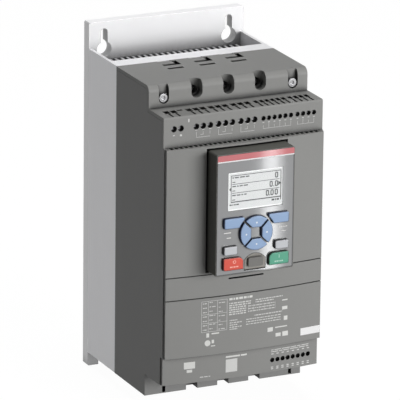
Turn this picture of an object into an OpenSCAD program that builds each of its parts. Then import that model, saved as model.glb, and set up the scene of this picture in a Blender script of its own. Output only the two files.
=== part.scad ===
// Three-phase soft starter for wall mounting, with a plug-in keypad.
// X runs across, Z is up, the front faces -Y and the wall lies in the plane Y = 0.
// Depths are counted forward from the wall, heights up from the foot of the mounting plate.

/* [Mounting plate] */
// Distance of the plate's sides inside the housing's sides
plate_inset = 0.5; // [0:0.1:2]
// Thickness of the plate
plate_t = 10.4; // [8:0.1:14]
// Height of the plate below the housing
plate_below = 13; // [12:0.5:20]
// Height of the plate above the housing
plate_above = 23; // [21:0.5:32]
// Radius of the plate's corners
plate_r = 1.5; // [1:0.5:8]
// Distance of the two fixing lines from the plate's sides
fix_edge = 14.5; // [14:0.5:16]
// Diameter of the keyhole's round end
key_d = 14; // [12:0.1:15]
// Width of the keyhole's neck
neck_w = 6.6; // [5:0.1:8]
// Height of the keyhole's round end above the housing's top, negative is below it
key_rise = -2; // [-3:0.5:2]
// Length from the round end's centre to the neck's top centre
neck_len = 15.4; // [13:0.1:17]
// Width of the open slots at the plate's foot
foot_slot_w = 8; // [6:0.1:10]
// Height of the round end's centre of the foot slots
foot_slot_h = 9; // [7:0.5:11]

/* [Heatsink] */
// Distance of the heatsink's sides inside the housing's sides
sink_inset = 0.3; // [0:0.1:2]
// Depth of the heatsink from the plate to the housing
sink_d = 60; // [45:0.5:80]
// Thickness of the base plate that carries the power parts
sink_base_t = 16.4; // [10:0.1:20]
// Thickness of the side walls
sink_wall_t = 2.8; // [2:0.1:4]
// Thickness of a fin
fin_t = 2.2; // [1.6:0.1:3]
// Distance from fin to fin
fin_pitch = 5.55; // [4.6:0.05:8]
// Height by which the fins stop short of the housing's top
fin_drop = 11; // [10:0.5:20]
// Width of the rails that take the plate's screws
rail_w = 9; // [8:0.5:11]
// Depth of the rails
rail_d = 14; // [12:0.5:20]
// Diameter of the plate screws
plate_screw_d = 5; // [4:0.1:5]
// Diameter of the plate screws' heads
plate_screw_head_d = 9; // [8:0.1:9.5]

/* [Housing] */
// Width of the housing
body_w = 150; // [148:0.5:154]
// Thickness of the housing's walls
wall_t = 2.8; // [2:0.1:3.4]
// Thickness of the covers
cover_t = 3; // [2.4:0.1:3.6]
// Gap between a cover and its seat
seam = 0.3; // [0.2:0.05:0.4]
// Depth of the recessed top from the heatsink
upper_d = 67.8; // [64:0.5:76]
// Depth of the ledge in front of the recessed top
ledge_d = 30.4; // [27:0.5:36]
// Step from the control front to the main panel's edge
panel_step = 4.8; // [3.6:0.1:7]
// Step from the main panel back to the lower cover
low_step = 4.9; // [3.6:0.1:7]
// Depth of the housing's foot from the heatsink
entry_d = 64; // [56:0.5:66]
// Height of the cable entry under the lower cover
entry_h = 20; // [15:0.5:22]
// Height of the lower cover
low_h = 25.4; // [24:0.1:32]
// Height of the main panel
panel_h = 187.6; // [184:0.1:200]
// Height of the control front
ctrl_h = 27; // [25:0.1:31]
// Height of the recessed top
upper_h = 20; // [17:0.5:24]
// Radius of the recessed top's front edge
upper_r = 6; // [4:0.5:8]
// Distance of the panel's sides inside the housing's sides
panel_inset = 1; // [1:0.1:2]
// Height of the bow of the main panel
bow = 4.5; // [3:0.1:6]

/* [Phases] */
// Distance from phase to phase
phase_pitch = 30; // [29:0.1:32]
// Width of the screwdriver holes
oval_w = 10.5; // [8:0.1:12]
// Height of the lowest point of the screwdriver holes above the ledge
oval_rise = 5; // [4:0.1:7]
// Reach of the screwdriver holes back over the top
oval_back = 10; // [8:0.1:14]
// Width of the cable notches
cable_w = 10.8; // [9:0.1:13]
// Height of the cable notches
cable_h = 15; // [12:0.5:16]
// Reach of the cable notches into the floor
cable_back = 10; // [8:0.5:11]

/* [Cover screws] */
// Distance of the cover screws from the housing's sides
cover_screw_edge = 14; // [12:0.5:18]
// Height of the cover screws above the ledge
cover_screw_rise = 7.9; // [7.5:0.1:9]
// Diameter of the cover screws' heads
cover_screw_head_d = 7.6; // [6:0.1:8]
// Depth of the groove that holds a cover screw
cover_screw_sink = 4; // [3:0.1:4.4]

/* [Control terminals] */
// Diameter of the relay screw holes
relay_hole_d = 5.4; // [4:0.1:5.4]
// Pitch of the relay screws
relay_pitch = 6.5; // [6.2:0.05:6.6]
// Diameter of the signal screw holes
signal_hole_d = 4.2; // [3:0.1:4.2]
// Pitch of the signal screws
signal_pitch = 5.2; // [5:0.02:5.2]
// Height of the screws below the ledge
ctrl_hole_drop = 10.6; // [9:0.1:13]
// Depth of a wire hole in the ledge
wire_hole_d = 8; // [4:0.1:9]
// Width of the slots before the wire holes
wire_slot_w = 1.8; // [0.8:0.1:2]
// Number of lower terminals
low_count = 8; // [6:1:8]
// Pitch of the lower terminals
low_pitch = 5.1; // [5:0.02:5.2]
// Distance of the last lower terminal from the housing's wall
low_edge = 7.45; // [6:0.05:10]
// Height of the lower screws above the lower cover's foot
low_hole_rise = 10.7; // [10:0.1:14]

/* [Panel details] */
// Pitch of the vents above the main panel
vent_pitch = 4.55; // [4:0.05:6]
// Width of a vent
vent_w = 2.8; // [1.6:0.1:3]
// Reach of a vent before the control front
vent_d = 3.6; // [1.2:0.1:3.8]
// Width of the panel's two grooves
groove_w = 1; // [0.6:0.1:1.6]
// Depth of the panel's two grooves
groove_d = 0.9; // [0.5:0.1:1.4]
// Height of the lower groove above the panel's foot
groove_low = 52.4; // [46:0.1:56]
// Height of the upper groove above the panel's foot
groove_high = 73; // [70:0.1:74]
// Width of the latch slit under the keypad
latch_w = 33; // [26:0.5:40]
// Height of the latch slit
latch_h = 1.4; // [1:0.1:2]
// Distance of the latch slit below the keypad
latch_drop = 8.6; // [7:0.1:10]

/* [Keypad] */
// Width of the keypad
kp_w = 73.4; // [72:0.1:76]
// Height of the keypad
kp_h = 108.2; // [104:0.1:110]
// Depth of the keypad
kp_d = 26; // [24:0.1:26.6]
// Depth by which the keypad stands proud of the panel's crown
kp_proud = 16.4; // [14:0.1:17]
// Radius of the keypad's corners
kp_r = 1.6; // [1:0.1:5]
// Thickness of the keypad's face plate
face_t = 2.5; // [2.2:0.1:3]
// Thickness of the keypad case's walls
case_t = 1.8; // [1.4:0.1:2.2]
// Gap between the keypad and its pocket
kp_gap = 1.5; // [0.6:0.1:1.6]
// Width of the display window
disp_w = 51.6; // [48:0.1:54]
// Height of the display window
disp_h = 34.2; // [32:0.1:35]
// Height of the display's foot above the keypad's foot
disp_rise = 57.2; // [56.6:0.1:59]
// Height of the round pad's centre above the keypad's foot
pad_rise = 36.2; // [35.8:0.1:36.6]
// Radius of the round pad
pad_r = 15.1; // [14:0.1:15.4]
// Gap round each key
key_gap = 0.35; // [0.3:0.05:0.5]
// Height of the keys above the face
key_proud = 3; // [1.4:0.1:3.4]
// Travel of a key
key_travel = 0.8; // [0.5:0.1:1]
// Overhang of a key's flange behind the face
key_lip = 0.7; // [0.5:0.1:0.8]

/* [Hidden] */
$fn = 64;
// Overcut that keeps cut faces clean
eps = 0.5;

// Thickness of the panel's rim under the control front
rim_t = 1.6;

// Heights from the foot of the plate
body_z0 = plate_below;
low_z0 = body_z0 + entry_h;
panel_z0 = low_z0 + low_h;
ctrl_z0 = panel_z0 + panel_h;
ledge_z = ctrl_z0 + ctrl_h;
body_z1 = ledge_z + upper_h;
plate_h = body_z1 + plate_above;
kp_z1 = ctrl_z0 - seam - rim_t - kp_gap;
kp_z0 = kp_z1 - kp_h;
key_z = body_z1 + key_rise;

// Depths from the wall
base_f = plate_t + sink_d;
sink_base_f = base_f - sink_base_t;
upper_f = base_f + upper_d;
ctrl_f = upper_f + ledge_d;
panel_f = ctrl_f + panel_step;
low_f = panel_f - low_step;
entry_f = base_f + entry_d;
crown_f = panel_f + bow;
face_f = crown_f + kp_proud;
case_f = face_f - face_t;
kp_back_f = face_f - kp_d;
key_f = face_f + key_proud;

// Widths from the housing's width
inner_w = body_w - 2 * wall_t;
panel_w = body_w - 2 * panel_inset;
sink_w = body_w - 2 * sink_inset;
plate_w = body_w - 2 * plate_inset;
fix_x = plate_w / 2 - fix_edge;
cover_screw_x = body_w / 2 - cover_screw_edge;
phases = [-1, 0, 1];
sides = [-1, 1];

// Bow of the main panel and the lower cover: one arc through edges and crown
bow_r = (panel_w * panel_w / 4 + bow * bow) / (2 * bow);
bow_f = crown_f - bow_r;

// Fins and screws of the heatsink
fin_z1 = body_z1 - fin_drop;
fin_gap = 1;
sink_in = sink_w / 2 - sink_wall_t;
rail_x = sink_in - rail_w / 2;
fin_count = 2 * floor((sink_in - fin_t) / fin_pitch) + 1;
screw_head_h = 3;
plate_screw_in = 9;
plate_screw_edge = 30;
rail_drop = 16;
thread_fit = 0.05;

// Slots, screws and marks of the covers
entry_slot_left = 18.2;
entry_slot_right = 10.3;
entry_slots = [entry_slot_left - body_w / 2, body_w / 2 - entry_slot_right];
entry_slot_w = 3;
entry_slot_h = 14;
entry_slot_d = 14;
entry_slot_foot = 0.8;
cable_rib_t = 2;
cover_screw_d = 3.5;
cover_screw_in = 12;
cover_post_d = 7;
cover_well_wall = 2;
cover_screw_gap = 0.9;
collar_t = 1.6;
driver_d = 7.4;
driver_sink = 7.4;
skin_t = 0.6;
mark_x = [-7, 9.5];
mark_back = 10.1;
mark_f = base_f + mark_back;
mark_t = 5;
mark_tail_w = 4.3;
mark_tail_d = 7.5;
mark_sink = 1.2;
mark_gap = 7.2;
mark_line_x = [-7.3, 7.3];
mark_line_t = 4;
mark_edge = 2;
vent_count = 2 * floor((inner_w / 2 - vent_w) / vent_pitch) + 1;

// Power parts, stacked forward from the heatsink
floor_t = 2.2;
module_w = 27;
module_d = 30;
module_h = 92;
module_rise = 52;
module_z0 = panel_z0 + module_rise;
module_slot = 4;
bar_w = 15;
bar_t = 3;
bar_f = base_f + module_d;
bar_lap = 14;
relay_f = bar_f + bar_t;
relay_d = 34;
relay_inset = 2;
relay_z0 = module_z0 + relay_inset;
relay_z1 = module_z0 + module_h - relay_inset;
relay_foot = 2;
power_f = relay_f + relay_d;
clamp_w = 18;
clamp_h = 16;
clamp_d = 26;
clamp_t = 3;
clamp_front_t = 5;
clamp_f = bar_f - clamp_t;
clamp_gap = 1;
clamp_lift = 3;
clamp_screw_d = 9;
clamp_screw_len = 10;
clamp_screw_sink = 1;
clamp_socket = 4;
clamp_socket_w = 6.4;
line_clamp_z0 = body_z1 - cover_t - clamp_gap - clamp_h;
load_clamp_z0 = body_z0 + wall_t + clamp_lift;
coil_h = 22;
coil_d = 28;
coil_lift = 16;
coil_z0 = load_clamp_z0 + clamp_h + coil_lift;

// Boards and pillars of the control side
board_t = 1.6;
board_gap = 2;
board_w = inner_w - 2 * board_gap;
pillar_d = 6;
pillar_r = 3;
pillar_side = 10.2;
pillar_x = board_w / 2 - pillar_side;
pillar_edge = 8;
power_edge = 4;
power_z0 = panel_z0 + power_edge;
power_z1 = ctrl_z0 - 2 * power_edge;
control_f = power_f + board_t + pillar_d;
control_rise = 82;
control_z0 = panel_z0 + control_rise;
control_z1 = ledge_z - cover_t - board_gap;

// Terminal groups: pins of each group, and the gaps that share the spare width
relay_pins = [2, 3, 3, 3];
signal_pins = [6, 4];
group_gaps = [1.6, 7.8, 1.25, 1.5, 2.55, 1.2, 1];
group_widths = concat([for (n = relay_pins) n * relay_pitch], [for (n = signal_pins) n * signal_pitch]);
gap_scale = (board_w - sum(group_widths)) / sum(group_gaps);
relay_xs = [for (g = [0 : len(relay_pins) - 1]) for (i = [0 : relay_pins[g] - 1])
    group_x(g) + (i + 0.5) * relay_pitch];
signal_xs = [for (g = [0 : len(signal_pins) - 1]) for (i = [0 : signal_pins[g] - 1])
    group_x(g + len(relay_pins)) + (i + 0.5) * signal_pitch];
low_x1 = inner_w / 2 - low_edge;
low_xs = [for (i = [0 : low_count - 1]) low_x1 - (low_count - 1 - i) * low_pitch];

// Terminal blocks and their screws
block_rise = 4;
block_z0 = ctrl_z0 + block_rise;
block_z1 = control_z1;
block_f = control_f + board_t;
block_front = ctrl_f - cover_t - seam;
block_split = (relay_xs[len(relay_xs) - 1] + signal_xs[0]) / 2;
ctrl_hole_z = ledge_z - ctrl_hole_drop;
terminal_screw_d = 3.4;
terminal_screw_in = 6;
terminal_screw_sink = 1;
terminal_mouth_h = 5;
screw_slot_w = 0.7;
screw_slot_d = 0.8;
low_hole_z = low_z0 + low_hole_rise;
low_screw_d = 3;
low_block_d = 30;
low_block_f = entry_f + low_block_d;
low_block_edge = 3.55;
low_block_lift = 1;
low_block_drop = 6;
low_block_z0 = low_z0 + cover_t + low_block_lift;
low_block_z1 = panel_z0 - low_block_drop;
wire_back = 11;
wire_rib = 1.5;
wire_slot_gap = 0.8;
wire_slot_end = 1.2;
spare_hole_d = 3.5;

// Pocket and shell of the keypad
pocket_t = 2;
pocket_w = kp_w + 2 * kp_gap;
pocket_z0 = kp_z0 - kp_gap;
pocket_z1 = kp_z1 + kp_gap;
pocket_f = kp_back_f - seam;
least_r = 0.6;
face_inset = 0.7;
face_fit = 0.1;
face_rim = 0.5;
post_r = 2.4;
post_inset = 7;
plug_w = 18;
plug_h = 10;
plug_d = 7;
plug_rise = 52;
plug_z = kp_z0 + plug_rise;

// Flap and socket of the service port
flap_w = 19.6;
flap_h = 14.4;
flap_rise = 2.9;
flap_z0 = kp_z0 + flap_rise;
flap_arch_r = 11.6;
flap_shoulder = 5;
flap_gap = 0.4;
flap_relief = 0.3;
flap_lug_w = 13.6;
flap_lug_h = 8;
flap_lug_t = 2.2;
flap_lug_rise = 3.4;
flap_knuckle_r = face_t / 2;
flap_pin_r = 0.8;
flap_pin_fit = 0.05;
flap_pin_len = 1.2;
flap_pin_rise = 1.5;
flap_pin_z = flap_z0 + flap_pin_rise;
flap_pin_f = face_f - flap_knuckle_r;
socket_w = 8;
socket_h = 4.4;
socket_wall = 0.5;
socket_gap = 1;
socket_floor = 1;
socket_rise = 8.6;
socket_z = flap_z0 + socket_rise;

// Keys, lens and board of the keypad
flange_t = 1.2;
mat_t = 1;
mat_gap = 0.6;
mat_edge = 1.2;
key_flange_f = case_f - seam - flange_t;
kp_board_f = key_flange_f - key_travel - mat_gap - mat_t;
disp_lip = 1.6;
disp_frame = 0.8;
disp_sink = 0.3;
lens_sink = 0.3;
lens_t = 0.8;
lens_f = face_f - lens_sink - lens_t;
key_edge = 6.4;
soft_in = 11.5;
soft_w = kp_w / 2 - key_edge - soft_in;
soft_x = soft_in + soft_w / 2;
soft_h = 8.9;
soft_rise = 47.2;
small_w = 12.4;
small_x = kp_w / 2 - key_edge - small_w / 2;
small_h = 7.4;
small_rise = 22.9;
run_edge = 6;
run_gap = 2.5;
run_w = kp_w / 2 - run_edge - flap_w / 2 - run_gap;
run_x = kp_w / 2 - run_edge - run_w / 2;
run_h = 10.6;
run_rise = 10.9;
run_r = 4.6;
pad_core = 4.4;
pad_split = 1.6;
key_r = 1.3;
key_web = 1.6;

// Sum of a list
function sum(v) = v * [for (x = v) 1];

// Left end of a terminal group
function group_x(g) = -board_w / 2 + sum([for (i = [0 : g]) gap_scale * group_gaps[i]])
    + (g > 0 ? sum([for (i = [0 : g - 1]) group_widths[i]]) : 0);

// Moves the working heights so that the plate's middle is the origin
module place() {
    translate([0, 0, -plate_h / 2]) children();
}

// Box from its limits across, in depth and in height
module slab(x, f, z) {
    translate([x[0], -f[1], z[0]]) cube([x[1] - x[0], f[1] - f[0], z[1] - z[0]]);
}

// Outline drawn in X and height, carried from one depth to another
module forward(f0, f1) {
    translate([0, -f0, 0]) rotate([90, 0, 0]) linear_extrude(f1 - f0) children();
}

// Outline drawn in depth and height, carried across from x0 to x1
module across(x0, x1) {
    translate([x0, 0, 0]) rotate([90, 0, 90]) linear_extrude(x1 - x0) mirror([1, 0]) children();
}

// Round bar that points forward
module pin_f(x, z, d, f0, f1) {
    translate([x, -f0, z]) rotate([90, 0, 0]) cylinder(d = d, h = f1 - f0);
}

// Rectangle with round corners, centred
module round_rect(w, h, r) {
    square([w - 2 * r, h], center = true);
    square([w, h - 2 * r], center = true);
    for (x = sides, z = sides) translate([x * (w / 2 - r), z * (h / 2 - r)]) circle(r);
}

// Upright slot with two round ends, from its lower to its upper centre
module slot_outline(w, z0, z1) {
    translate([0, z0]) circle(d = w);
    translate([0, z1]) circle(d = w);
    translate([-w / 2, z0]) square([w, z1 - z0]);
}

// Rectangle in depth and height whose upper front corner is round
module nose_rect(f0, f1, z0, z1, r) {
    translate([f0, z0]) square([f1 - f0, z1 - z0 - r]);
    translate([f0, z0]) square([f1 - f0 - r, z1 - z0]);
    translate([f1 - r, z1 - r]) circle(r);
}

// Upright drum that follows the panel's bow, set back by a distance
module bow_drum(back, z0, z1) {
    translate([0, -bow_f, z0]) cylinder(r = bow_r - back, h = z1 - z0, $fn = 256);
}

// Bowed sheet of one thickness, set back from the panel's front
module bow_sheet(back, t, w, z0, z1) {
    intersection() {
        slab([-w / 2, w / 2], [entry_f, crown_f + eps], [z0, z1]);
        difference() {
            bow_drum(back, z0, z1);
            bow_drum(back + t, z0 - eps, z1 + eps);
        }
    }
}

// Rib that runs back from a bowed sheet
module bow_rib(back, w, f0, z0, z1) {
    intersection() {
        slab([-w / 2, w / 2], [f0, crown_f + eps], [z0, z1]);
        bow_drum(back, z0, z1);
    }
}

// Plate for the wall, with keyholes above and open slots below
module mounting_plate() {
    color("gainsboro") place() difference() {
        forward(0, plate_t) translate([0, plate_h / 2]) round_rect(plate_w, plate_h, plate_r);
        for (s = sides) translate([s * fix_x, 0, 0]) {
            pin_f(0, key_z, key_d, -eps, plate_t + eps);
            forward(-eps, plate_t + eps) slot_outline(neck_w, key_z, key_z + neck_len);
            forward(-eps, plate_t + eps) slot_outline(foot_slot_w, -foot_slot_w, foot_slot_h);
        }
        at_plate_screws() {
            pin_f(0, 0, plate_screw_d + 2 * seam, -eps, plate_t + eps);
            pin_f(0, 0, plate_screw_head_d + 2 * seam, -eps, screw_head_h + 2 * seam);
        }
    }
}

// Places of the six plate screws
module at_plate_screws() {
    for (s = sides, z = [body_z0 + plate_screw_edge, (body_z0 + fin_z1) / 2, fin_z1 - plate_screw_edge])
        translate([s * rail_x, 0, z]) children();
}

// Screws that hold the plate to the heatsink's rails
module plate_screws() {
    color("silver") place() at_plate_screws() difference() {
        union() {
            pin_f(0, 0, plate_screw_head_d, 2 * seam, screw_head_h + 2 * seam);
            pin_f(0, 0, plate_screw_d, screw_head_h, plate_t + plate_screw_in);
        }
        forward(0, screw_head_h) circle(d = plate_screw_head_d / 2, $fn = 6);
    }
}

// Extruded heatsink: side walls, fins, screw rails and base plate
module heatsink() {
    color("lightgray") place() difference() {
        union() {
            slab([-sink_w / 2, sink_w / 2], [sink_base_f, base_f], [body_z0, body_z1]);
            for (s = sides) {
                slab(s > 0 ? [sink_in, sink_w / 2] : [-sink_w / 2, -sink_in],
                     [plate_t, sink_base_f], [body_z0, body_z1]);
                slab(s > 0 ? [sink_in - rail_w, sink_in] : [-sink_in, rail_w - sink_in],
                     [plate_t, plate_t + rail_d], [body_z0, fin_z1 - rail_drop]);
            }
            for (i = [0 : fin_count - 1]) translate([(i - (fin_count - 1) / 2) * fin_pitch, 0, 0])
                slab([-fin_t / 2, fin_t / 2], [plate_t + fin_gap, sink_base_f], [body_z0, fin_z1]);
        }
        at_plate_screws()
            pin_f(0, 0, plate_screw_d + 2 * thread_fit, plate_t - eps, plate_t + plate_screw_in + seam);
    }
}

// Side view of the housing's walls, set back from the covers
module wall_outline() {
    back = cover_t + seam;
    translate([base_f, body_z0]) square([entry_d, entry_h + eps]);
    translate([base_f, low_z0]) square([low_f - back - base_f, low_h + eps]);
    translate([base_f, panel_z0]) square([panel_f - back - base_f, panel_h]);
    translate([base_f, ctrl_z0 - eps]) square([ctrl_f - back - base_f, ctrl_h - back + eps]);
    nose_rect(base_f, upper_f - back, ledge_z - back - eps, body_z1 - back, upper_r - cover_t);
}

// Moulded housing: side walls, rear wall, floor and the set-back wall over the cable entry
module base_housing() {
    color("dimgray") place() difference() {
        union() {
            across(-body_w / 2, -inner_w / 2) wall_outline();
            across(inner_w / 2, body_w / 2) wall_outline();
            slab([-body_w / 2, body_w / 2], [base_f, base_f + floor_t], [body_z0, body_z1 - cover_t - seam]);
            slab([-body_w / 2, body_w / 2], [base_f, entry_f], [body_z0, body_z0 + wall_t]);
            slab([-body_w / 2, body_w / 2], [entry_f - wall_t, entry_f], [body_z0, panel_z0]);
        }
        for (p = phases) translate([p * phase_pitch, 0, 0]) {
            slab([-module_w / 2 - seam, module_w / 2 + seam], [base_f - eps, base_f + floor_t + eps],
                 [module_z0 - seam, module_z0 + module_h + seam]);
            slab([-cable_w / 2, cable_w / 2], [entry_f - cable_back, entry_f + eps],
                 [body_z0 - eps, body_z0 + wall_t + eps]);
            forward(entry_f - wall_t - eps, entry_f + eps)
                slot_outline(cable_w, body_z0 - cable_w, body_z0 + cable_h - cable_w / 2);
        }
        for (x = entry_slots)
            slab([x - entry_slot_w / 2, x + entry_slot_w / 2], [entry_f - entry_slot_d, entry_f + eps],
                 [body_z0 + entry_slot_foot, body_z0 + entry_slot_h]);
    }
    color("dimgray") place() {
        for (s = sides) screw_post(s * cover_screw_x);
        for (p = phases, s = sides) translate([p * phase_pitch + s * (cable_w + cable_rib_t) / 2, 0, 0])
            slab([-cable_rib_t / 2, cable_rib_t / 2], [entry_f - cable_back, entry_f],
                 [body_z0, body_z0 + cable_h]);
    }
}

// Post behind a cover screw
module screw_post(x) {
    f1 = upper_f - cover_screw_sink - cover_t - seam;
    z = ledge_z + cover_screw_rise;
    difference() {
        pin_f(x, z, cover_post_d, base_f + floor_t - eps, f1);
        pin_f(x, z, cover_screw_d + 2 * thread_fit, f1 - cover_screw_in, f1 + eps);
    }
}

// Cover over the line terminals
module upper_cover() {
    color("gray") place() difference() {
        union() {
            across(-body_w / 2, body_w / 2) difference() {
                nose_rect(base_f, upper_f, ledge_z - cover_t, body_z1, upper_r);
                nose_rect(base_f - eps, upper_f - cover_t, ledge_z - cover_t - eps, body_z1 - cover_t,
                          upper_r - cover_t);
            }
            for (s = sides) cover_screw_well(s * cover_screw_x);
            for (p = phases) translate([p * phase_pitch, 0, 0]) driver_collar();
        }
        for (s = sides) cover_screw_groove(s * cover_screw_x);
        for (p = phases) translate([p * phase_pitch, 0, 0]) {
            screwdriver_hole();
            entry_marks();
        }
    }
}

// Raised seat inside the cover that carries a sunk screw
module cover_screw_well(x) {
    w = cover_screw_head_d / 2 + cover_screw_gap + cover_well_wall;
    slab([x - w, x + w], [upper_f - cover_screw_sink - cover_t, upper_f - cover_t + eps],
         [ledge_z - cover_t, body_z1 - cover_t + eps]);
}

// Collar inside the cover that gives a screwdriver hole its walls and floor
module driver_collar() {
    w = oval_w / 2 + collar_t;
    slab([-w, w], [upper_f - oval_back - collar_t, upper_f - cover_t + eps],
         [ledge_z + oval_rise - collar_t, body_z1 - cover_t + eps]);
}

// Groove that holds a cover screw and runs out over the top edge
module cover_screw_groove(x) {
    z = ledge_z + cover_screw_rise;
    w = cover_screw_head_d + 2 * cover_screw_gap;
    pin_f(x, z, w, upper_f - cover_screw_sink, upper_f + eps);
    slab([x - w / 2, x + w / 2], [upper_f - cover_screw_sink, upper_f + eps], [z, body_z1 + eps]);
    pin_f(x, z, cover_screw_d + 2 * seam, upper_f - cover_screw_sink - cover_t - eps, upper_f);
}

// Hole for a screwdriver, open over the front edge, with a round way through its floor
module screwdriver_hole() {
    z = ledge_z + oval_rise + oval_w / 2;
    back_f = upper_f - oval_back + oval_w / 2;
    pin_f(0, z, oval_w, upper_f - driver_sink, upper_f + eps);
    pin_f(0, z, driver_d, upper_f - oval_back - collar_t - eps, upper_f);
    slab([-oval_w / 2, oval_w / 2], [back_f, upper_f + eps], [z, body_z1 + eps]);
    translate([0, -back_f, z]) cylinder(d = oval_w, h = body_z1 - z + eps);
}

// Slots in the top over each line cable: bar, tail and line in a thin skin, with a notch at the rear edge
module entry_marks() {
    z = [body_z1 - cover_t - eps, body_z1 + eps];
    tail_x = [mark_x[1] - mark_tail_w, mark_x[1]];
    tail_f = mark_f - mark_tail_d;
    line_f = mark_f + mark_t + mark_gap;
    slab(mark_x, [mark_f, mark_f + mark_t], z);
    slab(tail_x, [tail_f, mark_f + eps], z);
    slab(mark_line_x, [line_f, line_f + mark_line_t], z);
    slab([mark_x[0], tail_x[0]], [base_f - eps, base_f + mark_edge], [body_z1 - mark_sink, body_z1 + eps]);
    slab([mark_x[0] - mark_edge, mark_x[1] + mark_edge],
         [base_f + mark_edge, line_f + mark_line_t + mark_edge], [z[0], body_z1 - skin_t]);
}

// Screws of the upper cover
module cover_screws() {
    f = upper_f - cover_screw_sink;
    color("silver") place() for (s = sides) translate([s * cover_screw_x, 0, ledge_z + cover_screw_rise])
        difference() {
            union() {
                pin_f(0, 0, cover_screw_head_d, f, f + screw_head_h);
                pin_f(0, 0, cover_screw_d, f - cover_t - cover_screw_in + seam, f + eps);
            }
            forward(f + screw_head_h / 2, f + screw_head_h + eps) circle(d = cover_screw_head_d / 2, $fn = 6);
        }
}

// Ledge and front over the control terminals
module control_cover() {
    f0 = upper_f + seam;
    nose_r = cover_t / 2;
    color("gray") place() difference() {
        across(-body_w / 2, body_w / 2) difference() {
            nose_rect(f0, ctrl_f, ctrl_z0, ledge_z, nose_r);
            translate([f0 - eps, ctrl_z0 - eps])
                square([ctrl_f - cover_t - f0 + eps, ctrl_h - cover_t + eps]);
        }
        for (x = relay_xs) wire_cuts(x, relay_pitch, relay_hole_d);
        for (x = signal_xs) wire_cuts(x, signal_pitch, signal_hole_d);
        wire_hole(relay_xs[1] + relay_pitch, relay_pitch, spare_hole_d);
        slab([-board_w / 2, board_w / 2], [upper_f + cover_t, ctrl_f - cover_t],
             [ledge_z - cover_t - eps, ledge_z - skin_t]);
    }
}

// Hole in the ledge for a control wire
module wire_hole(x, pitch, d) {
    f = upper_f + wire_back;
    w = pitch - wire_rib;
    slab([x - w / 2, x + w / 2], [f, f + d], [ledge_z - cover_t - eps, ledge_z + eps]);
}

// Screw hole, wire hole and slot of one control terminal
module wire_cuts(x, pitch, d) {
    f = upper_f + wire_back + wire_hole_d + wire_slot_gap;
    pin_f(x, ctrl_hole_z, d, ctrl_f - cover_t - eps, ctrl_f + eps);
    wire_hole(x, pitch, wire_hole_d);
    slab([x - wire_slot_w / 2, x + wire_slot_w / 2], [f, ctrl_f - wire_slot_end],
         [ledge_z - cover_t - eps, ledge_z + eps]);
}

// Bowed main panel with the keypad's pocket
module front_cover() {
    rib_f = ctrl_f - cover_t + seam;
    color("gray") place() difference() {
        union() {
            bow_sheet(0, cover_t, panel_w, panel_z0, ctrl_z0 - seam);
            bow_rib(0, inner_w - 2 * seam, rib_f, ctrl_z0 - seam - rim_t, ctrl_z0 - seam);
            bow_rib(0, inner_w - 2 * seam, low_f - cover_t, panel_z0, panel_z0 + rim_t);
            pocket_shell();
        }
        slab([-pocket_w / 2, pocket_w / 2], [pocket_f, crown_f + eps], [pocket_z0, pocket_z1]);
        slab([-latch_w / 2, latch_w / 2], [panel_f - cover_t, crown_f + eps],
             [kp_z0 - latch_drop - latch_h / 2, kp_z0 - latch_drop + latch_h / 2]);
        slab([-plug_w / 2 - kp_gap, plug_w / 2 + kp_gap], [pocket_f - pocket_t - eps, pocket_f + eps],
             [plug_z - plug_h / 2 - kp_gap, plug_z + plug_h / 2 + kp_gap]);
        for (z = [panel_z0 + groove_low, panel_z0 + groove_high]) groove(z);
        for (i = [0 : vent_count - 1]) vent((i - (vent_count - 1) / 2) * vent_pitch);
    }
}

// Tray behind the main panel that takes the keypad
module pocket_shell() {
    f0 = pocket_f - pocket_t;
    bow_rib(0, pocket_w + 2 * pocket_t, f0, pocket_z0 - pocket_t, ctrl_z0 - seam);
}

// Shallow groove across the main panel
module groove(z) {
    difference() {
        slab([-body_w / 2, body_w / 2], [panel_f - cover_t, crown_f + eps],
             [z - groove_w / 2, z + groove_w / 2]);
        bow_drum(groove_d, z - groove_w, z + groove_w);
    }
}

// Vent through the rim above the main panel, open under the control front
module vent(x) {
    slab([x - vent_w / 2, x + vent_w / 2], [ctrl_f - cover_t, ctrl_f + seam + vent_d],
         [ctrl_z0 - seam - rim_t - eps, ctrl_z0]);
}

// Cover over the load terminals, with the lower screw holes
module lower_cover() {
    z1 = panel_z0 - seam;
    color("gray") place() difference() {
        union() {
            bow_sheet(low_step, cover_t, panel_w, low_z0, z1);
            bow_rib(low_step, inner_w - 2 * seam, entry_f + seam, low_z0, low_z0 + cover_t);
        }
        for (x = low_xs) pin_f(x, low_hole_z, signal_hole_d, low_f - cover_t - eps, crown_f);
    }
}

// One power module on the heatsink
module thyristor_module(p) {
    x = p * phase_pitch;
    color("darkslategray") place() difference() {
        slab([x - module_w / 2, x + module_w / 2], [base_f, bar_f], [module_z0, module_z0 + module_h]);
        for (z = [module_z0 + bar_lap + module_slot, module_z0 + module_h - bar_lap - 2 * module_slot])
            slab([x - module_w, x + module_w], [bar_f - module_slot, bar_f + eps], [z, z + module_slot]);
    }
}

// Bar from the upper clamp to the module
module line_busbar(p) {
    x = p * phase_pitch;
    z0 = module_z0 + module_h - bar_lap;
    color("peru") place()
        slab([x - bar_w / 2, x + bar_w / 2], [bar_f, bar_f + bar_t], [z0, line_clamp_z0 + clamp_h - clamp_t]);
}

// Bar from the module to the lower clamp
module load_busbar(p) {
    x = p * phase_pitch;
    color("peru") place()
        slab([x - bar_w / 2, x + bar_w / 2], [bar_f, bar_f + bar_t],
             [load_clamp_z0 + clamp_t, module_z0 + bar_lap]);
}

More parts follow.
